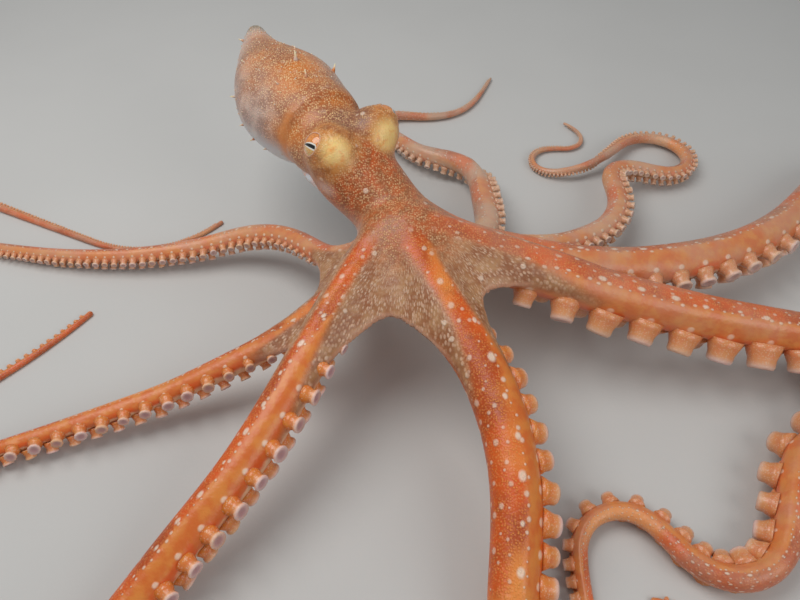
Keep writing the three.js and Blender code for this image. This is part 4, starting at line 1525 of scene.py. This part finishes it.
def sucker_places(arm):
    """The suckers of one arm: place, facing, direction along the arm, and size in metres."""
    spacing, diameter, height, _ = arm.row["suckers"]
    found = []
    for row in (1, -1):
        shift = 0.0 if row > 0 else 0.5
        first = math.ceil(float(arm.count(SUCKERS_FROM)))
        counts = np.arange(first, float(arm.count(arm.length - SUCKERS_END)) - 1) + shift
        s = arm.distance(counts)
        angle = np.full(len(s), row * math.radians(ROW_ANGLE))
        along, side, back = arm.frame(s)
        out = back * np.cos(angle)[:, None] + side * np.sin(angle)[:, None]
        place = arm.axis(s) + out * section(arm, s, angle)[:, None]
        grown = SUCKERS_LEAST + SUCKERS_GAIN * smoothstep(*SUCKERS_GROW, s)
        small = arm.spacing(s) / spacing * grown
        size = np.stack([small * diameter, small * diameter, small * height], 1) * MM
        facing = unit(out - SUCKER_LEAN * back)
        found.append((place, facing, along, fitted(place, facing, size)))
    return [np.concatenate(parts) for parts in zip(*found)]


def papilla_places(rng):
    """Large papillae listed over the mantle, and small ones scattered between them."""
    rows = [(share, angle, high, 0.3 * high + 1.1) for share, angle, high in PAPILLAE]
    for _ in range(SMALL_PAPILLAE):
        share = rng.uniform(0.06, 0.86)
        angle = rng.normal(0, 62)
        high = rng.uniform(0.3, 0.7) * (1 - 0.4 * share)
        rows.append((share, angle, high, 0.95))
    share, angle, high, wide = np.array(rows).T
    index = np.round(share * (len(MANTLE_BODY.centres) - 1)).astype(int)
    turn = np.radians(angle)
    sideways, upwards = np.sin(turn)[:, None], np.cos(turn)[:, None]
    half_wide, half_high = MANTLE_BODY.wide[index, None], MANTLE_BODY.high[index, None]
    right, up, along = MANTLE_BODY.right[index], MANTLE_BODY.up[index], MANTLE_BODY.along[index]
    offset = right * (sideways * half_wide)
    offset += up * (upwards * half_high)
    normal = unit(right * (sideways / half_wide) + up * (upwards / half_high))
    facing = unit(normal + PAPILLA_LEAN * along)
    place = MANTLE_BODY.centres[index] + offset
    return place, facing, along, fitted(place, facing, np.stack([wide, wide, high], 1) * MM)


# ---- Eyes, lids and funnel


def eye_axes(side):
    """Unit vectors level across an eye, up it and out of it."""
    out = unit(side["looks"])
    across = unit(np.cross(UP, out))
    return across, np.cross(out, across), out


def eye_ball(name):
    """An eye as a ball whose pole looks out, with each point's place on its face."""
    side = EYE_SIDES[name]
    across, up, out = eye_axes(side)
    tilt = np.linspace(0, np.pi, EYE_RINGS + 1)[1:-1, None]
    turn = round_turn(EYE_FACETS)
    directions = [np.sin(tilt) * np.cos(turn), np.sin(tilt) * np.sin(turn), np.cos(tilt) + 0 * turn]
    grid = np.stack(directions, -1)
    local = np.vstack([grid.reshape(-1, 3), [[0, 0, 1], [0, 0, -1]]]) * EYE_RADIUS
    points = eye_centre(side) + local[:, :1] * across + local[:, 1:2] * up + local[:, 2:] * out
    ids, top, bottom = numbered(grid), len(points) - 2, len(points) - 1
    faces = strip(grid) + fan(ids[0], top) + fan(ids[-1], bottom)
    mesh = new_mesh(name + "_ball", points, faces)
    face_outwards(mesh)
    turn = math.radians(SLIT_TURN) * PUPIL_SIDE[name]
    level = local[:, 1] * math.cos(turn) - local[:, 0] * math.sin(turn)
    mark(mesh, "across", (local[:, 0] * math.cos(turn) + local[:, 1] * math.sin(turn)) * PUPIL_SIDE[name])
    mark(mesh, "height", level + SLIT_LOW)
    return new_object(name + "_ball", mesh)


EYE_RINGS, EYE_FACETS = 28, 48
PUPIL_SIDE = {"eye_right": 1.0, "eye_left": -1.0}  # which way the pupil's blunt end points
SLIT_TURN = 19  # how far a pupil tips up towards the mouth, because the head is pitched down
SLIT_LOW = 0.8  # how far it lies under the middle of the eye
LID_OPENING = (4.2, 5.3)  # half its width and height
LID_THICK = 0.55  # over the ball, at the opening
LID_END = 8.8  # where it has sunk into the swelling, from the middle of the eye
LID_SUNK = 1.4  # how far it has sunk by there
LID_SKIN = 0.25  # its height over the swelling
LID_BLEND = 1.6  # distance over which ball and swelling are rounded into each other
LID_OUTER = (0, 0.02, 0.06, 0.12, 0.2, 0.3, 0.42, 0.56, 0.72, 0.88, 1.0)  # its rings, opening to end
LID_INNER = (0.8, 0.4, 0.0)  # and back beneath the skin
LID_FACETS = 96


def lid(name):
    """Skin that runs from a thin, slightly uneven rim round the opening down onto the swelling."""
    side = EYE_SIDES[name]
    across, up, out = eye_axes(side)
    turn = round_turn(LID_FACETS)
    wide, tall = LID_OPENING
    rim = np.hypot(wide * np.cos(turn), tall * np.sin(turn))
    rim *= 1 + 0.012 * np.sin(5 * turn + 1) + 0.01 * np.sin(9 * turn)
    ball = lambda flat: np.sqrt(np.maximum(EYE_RADIUS**2 - flat**2, 0))
    dome = lambda flat: np.sqrt(side["radius"] ** 2 - flat**2) - eye_lift(side)
    fold = 0.1 * np.sin(turn) + 0.05 * np.sin(3 * turn + 1)
    rings, lip = [], []
    for share in LID_OUTER:
        flat = rim + (LID_END - rim) * share
        rise = LID_THICK * smoothstep(0, 0.1, share) * (1 - 0.75 * smoothstep(0.1, 0.6, share))
        over_ball = ball(flat) + (rise + fold * (share > 0))
        over_dome = dome(flat) + LID_SKIN * (1 - smoothstep(0.7, 1, share))
        high = -smooth_min(-over_ball, -over_dome, LID_BLEND)
        rings.append((flat, high - LID_SUNK * smoothstep(0.8, 1, share)))
        lip.append(1 - smoothstep(0.04, 0.2, share))
    for share in LID_INNER:
        flat = rim + (LID_END - rim) * share
        rings.append((flat, np.minimum(ball(flat), dome(flat)) - 0.7 - 1.2 * share))
        lip.append(1.0)
    rings = np.array([
        eye_centre(side) + (flat * np.cos(turn))[:, None] * across + (flat * np.sin(turn))[:, None] * up
        + high[:, None] * out for flat, high in rings
    ])
    ids = numbered(rings)
    faces = [quad for a, b in zip(ids, np.roll(ids, -1, axis=0)) for quad in between(a, b)]
    points = rings.reshape(-1, 3)
    mesh = new_mesh("lid_" + name, points, faces)
    face_outwards(mesh)
    known = np.tile([-1.0, 0.0, 0.0], (len(points), 1))
    for key, values in skin_marks(points, known).items():
        mark(mesh, key, values)
    mark(mesh, "lip", np.repeat(lip, LID_FACETS))
    return new_object("lid_" + name, mesh)


FUNNEL_SECTIONS, FUNNEL_FACETS = 22, 40
FUNNEL_INSIDE = 0.25  # how far it stays inside the part's own funnel
FUNNEL_START = (0.45, 0.3)  # it starts at this share of its width and has all of it after this share
FUNNEL_TAPER = (0.9, 0.6)  # its radius loses this much from this share of its length to its mouth
FUNNEL_FLAT = 0.86  # its height over its width
FUNNEL_LIP = (25, 55, 90, 125, 155)  # degrees over its rounded lip
BORE_DEPTH = 4  # sections from its start to the end of its bore


def funnel():
    """The funnel: a soft tube from under the mantle's edge, open at its mouth."""
    rows = spline(FUNNEL, FUNNEL_SECTIONS)
    loft = Loft(np.c_[rows[:, :4], rows[:, 3]], FUNNEL_SECTIONS)
    turn = round_turn(FUNNEL_FACETS)
    uneven = 1 + 0.035 * np.sin(3 * turn + 0.7) + 0.02 * np.sin(7 * turn)
    ring = lambda i, r: loft.centres[i] + (r * uneven)[:, None] * (
        np.cos(turn)[:, None] * loft.right[i] + np.sin(turn)[:, None] * loft.up[i] * FUNNEL_FLAT
    )
    last = len(rows) - 1
    (least, grown), (taper, taper_from) = FUNNEL_START, FUNNEL_TAPER
    rings = []  # (points, how deep in the bore, how far along)
    for i in range(len(rows)):
        start = least + (1 - least) * smoothstep(0.0, grown, i / last)
        radius = (rows[i, 3] - FUNNEL_INSIDE) * start - taper * smoothstep(taper_from, 1.0, i / last)
        rings.append((ring(i, radius), 0.0, i / last))
    outer, inner = rows[last, 3] - (FUNNEL_INSIDE + taper), rows[last, 4]
    for angle in np.radians(FUNNEL_LIP):
        lip = ring(last, (outer + inner) / 2 + (outer - inner) / 2 * np.cos(angle))
        rings.append((lip + loft.along[last] * np.sin(angle), 0.35 * angle / np.pi, 1.0))
    for i in range(last, BORE_DEPTH, -2):
        rings.append((ring(i, rows[i, 4]), 1.0, 1.0))
    rings, bore, onwards = (np.array(column) for column in zip(*rings))
    points = np.vstack([rings.reshape(-1, 3), [rings[-1].mean(0)], [rings[0].mean(0)]])
    ids, deep, start = numbered(rings), len(points) - 2, len(points) - 1
    mesh = new_mesh("funnel_tube", points, strip(rings) + fan(ids[-1], deep) + fan(ids[0], start))
    face_outwards(mesh)
    for key, values in (("bore", bore), ("onwards", onwards)):
        mark(mesh, key, np.append(np.repeat(values, FUNNEL_FACETS), [1.0, 0.0]))
    return new_object("funnel_tube", mesh)


# ---- What a user may change


def shade(name, text, code):
    """A colour that the sidebar offers."""
    return bpy.props.FloatVectorProperty(
        name=name, description=text, default=tint(code), size=4, min=0.0, max=1.0, subtype="COLOR"
    )


def number(name, text, default, low, high, **kind):
    """A number that the sidebar offers."""
    kind.update(default=default, min=low, max=high)
    return bpy.props.FloatProperty(name=name, description=text, **kind)


def factor(name, text, default, low=0.0, high=1.0):
    return number(name, text, default, low, high, subtype="FACTOR")


def whole(name, text, default, low, high):
    return bpy.props.IntProperty(name=name, description=text, default=default, min=low, max=high)


class OctopusLook(bpy.types.PropertyGroup):
    """The octopus's colours and the grain of its skin."""

    orange: shade("Orange", "Lighter part of the arms' backs", "dc5a08")
    rust: shade("Rust", "Darker part of the arms' backs", "b44806")
    amber: shade("Amber", "Brightest patches of the skin", "f49a44")
    # Colours of the flanks, whose bright stripe is partly painted highlight.
    peach: shade("Peach", "Smooth flanks of the arms", "d66a22")
    apricot: shade("Apricot", "Lighter part of the flanks", "de8434")
    umber: shade("Umber", "Brown mottling of the arms, neck and head", "84400e")
    shell: shade("Shell", "Underside of the arms", "e8b48a")
    web_brown: shade("Web brown", "Darker part of the webs", "9a603a")
    web_grey: shade("Web grey", "Lighter part of the webs", "ba8a5e")
    web_granule: shade("Web granules", "Pale granules of the webs", "dcb496")
    web_rim: shade("Web rim", "Free edge of the webs", "e0a888")
    # Partly painted highlight: golden patches on the fronts of the eye domes.
    gold: shade("Gold", "Bright patches round the eyes", "ffd888")
    honey: shade("Honey", "Head round the eyes", "e0984c")
    taupe: shade("Taupe", "Darker part of the mantle's margin", "a08a80")
    dusk: shade("Between the eyes", "Dark skin between the eyes", "70463a")
    dove: shade("Dove", "Pale grey edge of the mantle", "dccabc")
    mantle_orange: shade("Mantle orange", "Lighter part of the mantle", "cc7428")
    mantle_rust: shade("Mantle rust", "Darker part of the mantle", "a0603c")
    collar: shade("Collar", "Smooth edge of the mantle over the neck", "dc8c4c")
    moss: shade("Moss", "Mantle's tip", "78765a")
    ice: shade("Ice", "Mantle's underside", "d8dce0")
    blush: shade("Blush", "Pale skin below the eye", "dcb8ac")
    faded: shade("Faded", "Faded skin of the left arms", "ccb69e")
    granule_tint: shade("Granules", "Pale granules all over the back", "f6c890")
    spot: shade("Spots", "White spots", "f4dcc4")
    papilla: shade("Papillae", "Tips of the papillae", "ecd8a0")
    sucker_wall: shade("Sucker wall", "Foot of a sucker", "e07a38")
    sucker_neck: shade("Sucker neck", "Middle of a sucker's wall", "eca05e")
    sucker_rim: shade("Sucker rim", "Rim of a sucker", "e8c8c4")
    # Painted shade inside a sucker's cup and in the funnel's bore.
    cup_and_bore_shade: shade("Sucker cup", "Inside of a sucker", "a8727c")
    lid: shade("Lid", "Inner edge of the lids", "dcb4a4")
    iris: shade("Iris above", "Iris over the pupil", "c87838")
    iris_low: shade("Iris below", "Iris under the pupil", "dcc078")
    eye_white: shade("Eye white", "Border of the pupil", "f0ece0")
    pupil: shade("Pupil", "The slit itself", "0a0806")
    floor: shade("Floor", "Studio floor", "c8c6c2")
    floor_shade: shade("Floor shade", "Faint mottling of the floor", "b4b2ae")
    granule: number("Granule spacing", "Distance between two granules, in millimetres", 0.95, 0.4, 4.0)
    granule_strength: factor("Granule strength", "How clearly the granules show", 0.62)
    spot_strength: factor("Spot strength", "How clearly the white spots show", 0.78)
    wetness: factor("Smoothness of the skin", "Roughness between the granules", 0.36, low=0.05)
    granule_height: number(
        "Granule height", "How far granules and spots stand out", 0.0003, 0.0, 0.002, unit="LENGTH"
    )


class OctopusSizes(bpy.types.PropertyGroup):
    """Sizes and counts of what repeats."""

    unevenness: factor("Sucker unevenness", "How much the suckers differ in size", 0.07, high=0.4)
    tilt: number("Sucker tilt", "How far a sucker may lean", math.radians(9), 0.0, 0.6, subtype="ANGLE")
    thick_sides: whole("Sides of a large sucker", "Facets round a sucker of a thick arm", 14, 6, 24)
    thin_sides: whole("Sides of a small sucker", "Facets round a sucker of a thin arm", 9, 5, 16)
    seed: whole("Seed", "Seed of everything uneven", 11, 0, 999)
    key_power: number("Key light", "Power of the large light, in watts", 2.4, 0.0, 200.0)
    fill_power: number("Fill light", "Power of the smaller light, in watts", 1.0, 0.0, 200.0)
    sky: number("Sky", "Strength of the even light all round", 0.34, 0.0, 3.0)
    floor_width: number("Floor width", "Width of the studio floor", 6.0, 1.0, 40.0, unit="LENGTH")


# ---- The pieces

class OCTOPUS_OT_skin(bpy.types.Operator):
    """One skin over mantle, head, webs and all eight arms"""

    bl_idname = "octopus.skin"
    bl_label = "Skin"

    def execute(self, context):
        points, faces, known = skin_shape()
        marks = skin_marks(points, known)
        points = points.copy()
        points[:, 2] = np.maximum(points[:, 2], FLOOR_GAP)
        mesh = new_mesh("skin", points, faces)
        face_outwards(mesh)
        for key, values in marks.items():
            mark(mesh, key, values)
        skin = new_object("skin", mesh)
        kept = {"eye_right", "eye_left", "funnel"}
        covered = sorted(name for name in frame["nodes"] if name not in kept)
        finish_piece(skin, skin_finish(context.scene.octopus_look), covered)
        return {"FINISHED"}


class OCTOPUS_OT_eyes(bpy.types.Operator):
    """Both eyes, with their lids"""

    bl_idname = "octopus.eyes"
    bl_label = "Eyes"

    def execute(self, context):
        look = context.scene.octopus_look
        glossy, coat = eye_finish(look), skin_finish(look, "octopus_lid")
        for name in EYE_SIDES:
            finish_piece(eye_ball(name), glossy, [name])
            finish_piece(lid(name), coat)
        return {"FINISHED"}


class OCTOPUS_OT_funnel(bpy.types.Operator):
    """The funnel under the mantle's edge"""

    bl_idname = "octopus.funnel"
    bl_label = "Funnel"

    def execute(self, context):
        finish_piece(funnel(), funnel_finish(context.scene.octopus_look), ["funnel"])
        return {"FINISHED"}


class OCTOPUS_OT_suckers(bpy.types.Operator):
    """Two rows of suckers along every arm"""

    bl_idname = "octopus.suckers"
    bl_label = "Suckers"

    def execute(self, context):
        sizes = context.scene.octopus_sizes
        finish = sucker_finish(context.scene.octopus_look)
        tree = sprouts_tree()
        stout = turned_template("stout_sucker", STOUT_SUCKER, SUCKER_PIT, sizes.thick_sides)
        slim = turned_template("slim_sucker", SLIM_SUCKER, SUCKER_PIT, sizes.thick_sides)
        small = turned_template("small_sucker", SLIM_SUCKER, SUCKER_PIT, sizes.thin_sides)
        for number, (name, arm) in enumerate(ARM.items()):
            place, facing, along, size = sucker_places(arm)
            wash = np.full(len(place), arm.row["wash"])
            mesh = points_mesh(name + "_suckers", place, facing=facing, along=along, size=size, wash=wash)
            plain = slim if arm.thick else small
            values = {
                "Template": stout if arm.row["stout"] else plain, "Unevenness": sizes.unevenness,
                "Tilt": sizes.tilt, "Seed": sizes.seed + number, "Floor": FLOOR_GAP * MM,
                "Finish": finish,
            }
            finish_piece(run_tree(tree, name + "_suckers", mesh, values), finish)
        for template in (stout, slim, small):
            bpy.data.objects.remove(template)
        return {"FINISHED"}


class OCTOPUS_OT_papillae(bpy.types.Operator):
    """Soft papillae over the mantle"""

    bl_idname = "octopus.papillae"
    bl_label = "Papillae"

    def execute(self, context):
        sizes = context.scene.octopus_sizes
        finish = papilla_finish(context.scene.octopus_look)
        template = turned_template("papilla", PAPILLA_OUTLINE, 1.0, 7, PAPILLA_BEND)
        place, facing, along, size = papilla_places(np.random.default_rng(sizes.seed))
        mesh = points_mesh("papillae", place, facing=facing, along=along, size=size)
        values = {
            "Template": template, "Unevenness": PAPILLA_UNEVENNESS, "Tilt": PAPILLA_TILT,
            "Seed": sizes.seed + PAPILLA_SEED, "Floor": FLOOR_GAP * MM, "Finish": finish,
        }
        finish_piece(run_tree(sprouts_tree(), "papillae", mesh, values), finish)
        bpy.data.objects.remove(template)
        return {"FINISHED"}


class OCTOPUS_OT_stage(bpy.types.Operator):
    """A plain floor, soft studio lights and the camera"""

    bl_idname = "octopus.stage"
    bl_label = "Stage"

    def execute(self, context):
        sizes, look = context.scene.octopus_sizes, context.scene.octopus_look
        half = sizes.floor_width / 2
        mesh = bpy.data.meshes.new("floor")
        corners = [(-half, -half, 0), (half, -half, 0), (half, half, 0), (-half, half, 0)]
        mesh.from_pydata(corners, [], [(0, 1, 2, 3)])
        floor = new_object("floor", mesh)
        mesh.materials.append(floor_finish(look))
        for name, place, width, power in (
            ("key_light", KEY_PLACE, KEY_WIDTH, sizes.key_power),
            ("fill_light", FILL_PLACE, FILL_WIDTH, sizes.fill_power),
        ):
            lamp = bpy.data.lights.new(name, "AREA")
            lamp.shape, lamp.size, lamp.energy = "DISK", width, power
            light = new_object(name, lamp)
            start, end = Vector(placed(place)), Vector(placed(LIGHTS_AIM))
            light.location = start
            light.rotation_euler = (end - start).to_track_quat("-Z", "Y").to_euler()
        world = bpy.data.worlds.new("studio")
        world.use_nodes = True
        sky = world.node_tree.nodes["Background"]
        sky.inputs["Color"].default_value = SKY_COLOUR
        sky.inputs["Strength"].default_value = sizes.sky
        context.scene.world = world
        context.scene.view_settings.view_transform = "Standard"
        view = bpy.data.cameras.new("camera")
        view.sensor_width, view.lens = CAMERA_SENSOR, CAMERA_LENS
        view.clip_start, view.clip_end = CAMERA_CLIP
        camera = new_object("camera", view)
        camera.location = placed(CAMERA_PLACE)
        camera.rotation_euler = (math.radians(CAMERA_PITCH), 0, 0)
        context.scene.camera = camera
        return {"FINISHED"}


PIECES = (
    OCTOPUS_OT_skin, OCTOPUS_OT_eyes, OCTOPUS_OT_funnel, OCTOPUS_OT_suckers, OCTOPUS_OT_papillae,
    OCTOPUS_OT_stage,
)


class OCTOPUS_PT_panel(bpy.types.Panel):
    """The octopus's pieces and looks"""

    bl_idname = "OCTOPUS_PT_panel"
    bl_label = "White-spotted octopus"
    bl_space_type = "VIEW_3D"
    bl_region_type = "UI"
    bl_category = "Octopus"

    def draw(self, context):
        for piece in PIECES:
            self.layout.operator(piece.bl_idname)
        for group in (context.scene.octopus_look, context.scene.octopus_sizes):
            for key in group.__annotations__:
                self.layout.prop(group, key)


CLASSES = (OctopusLook, OctopusSizes, *PIECES, OCTOPUS_PT_panel)


def register():
    for each in CLASSES:
        bpy.utils.register_class(each)
    bpy.types.Scene.octopus_look = bpy.props.PointerProperty(type=OctopusLook)
    bpy.types.Scene.octopus_sizes = bpy.props.PointerProperty(type=OctopusSizes)


def unregister():
    del bpy.types.Scene.octopus_sizes
    del bpy.types.Scene.octopus_look
    for each in reversed(CLASSES):
        bpy.utils.unregister_class(each)


def main():
    register()
    bpy.ops.octopus.skin()
    bpy.ops.octopus.eyes()
    bpy.ops.octopus.funnel()
    bpy.ops.octopus.suckers()
    bpy.ops.octopus.papillae()
    bpy.ops.octopus.stage()
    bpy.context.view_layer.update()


if __name__ == "__main__":
    main()
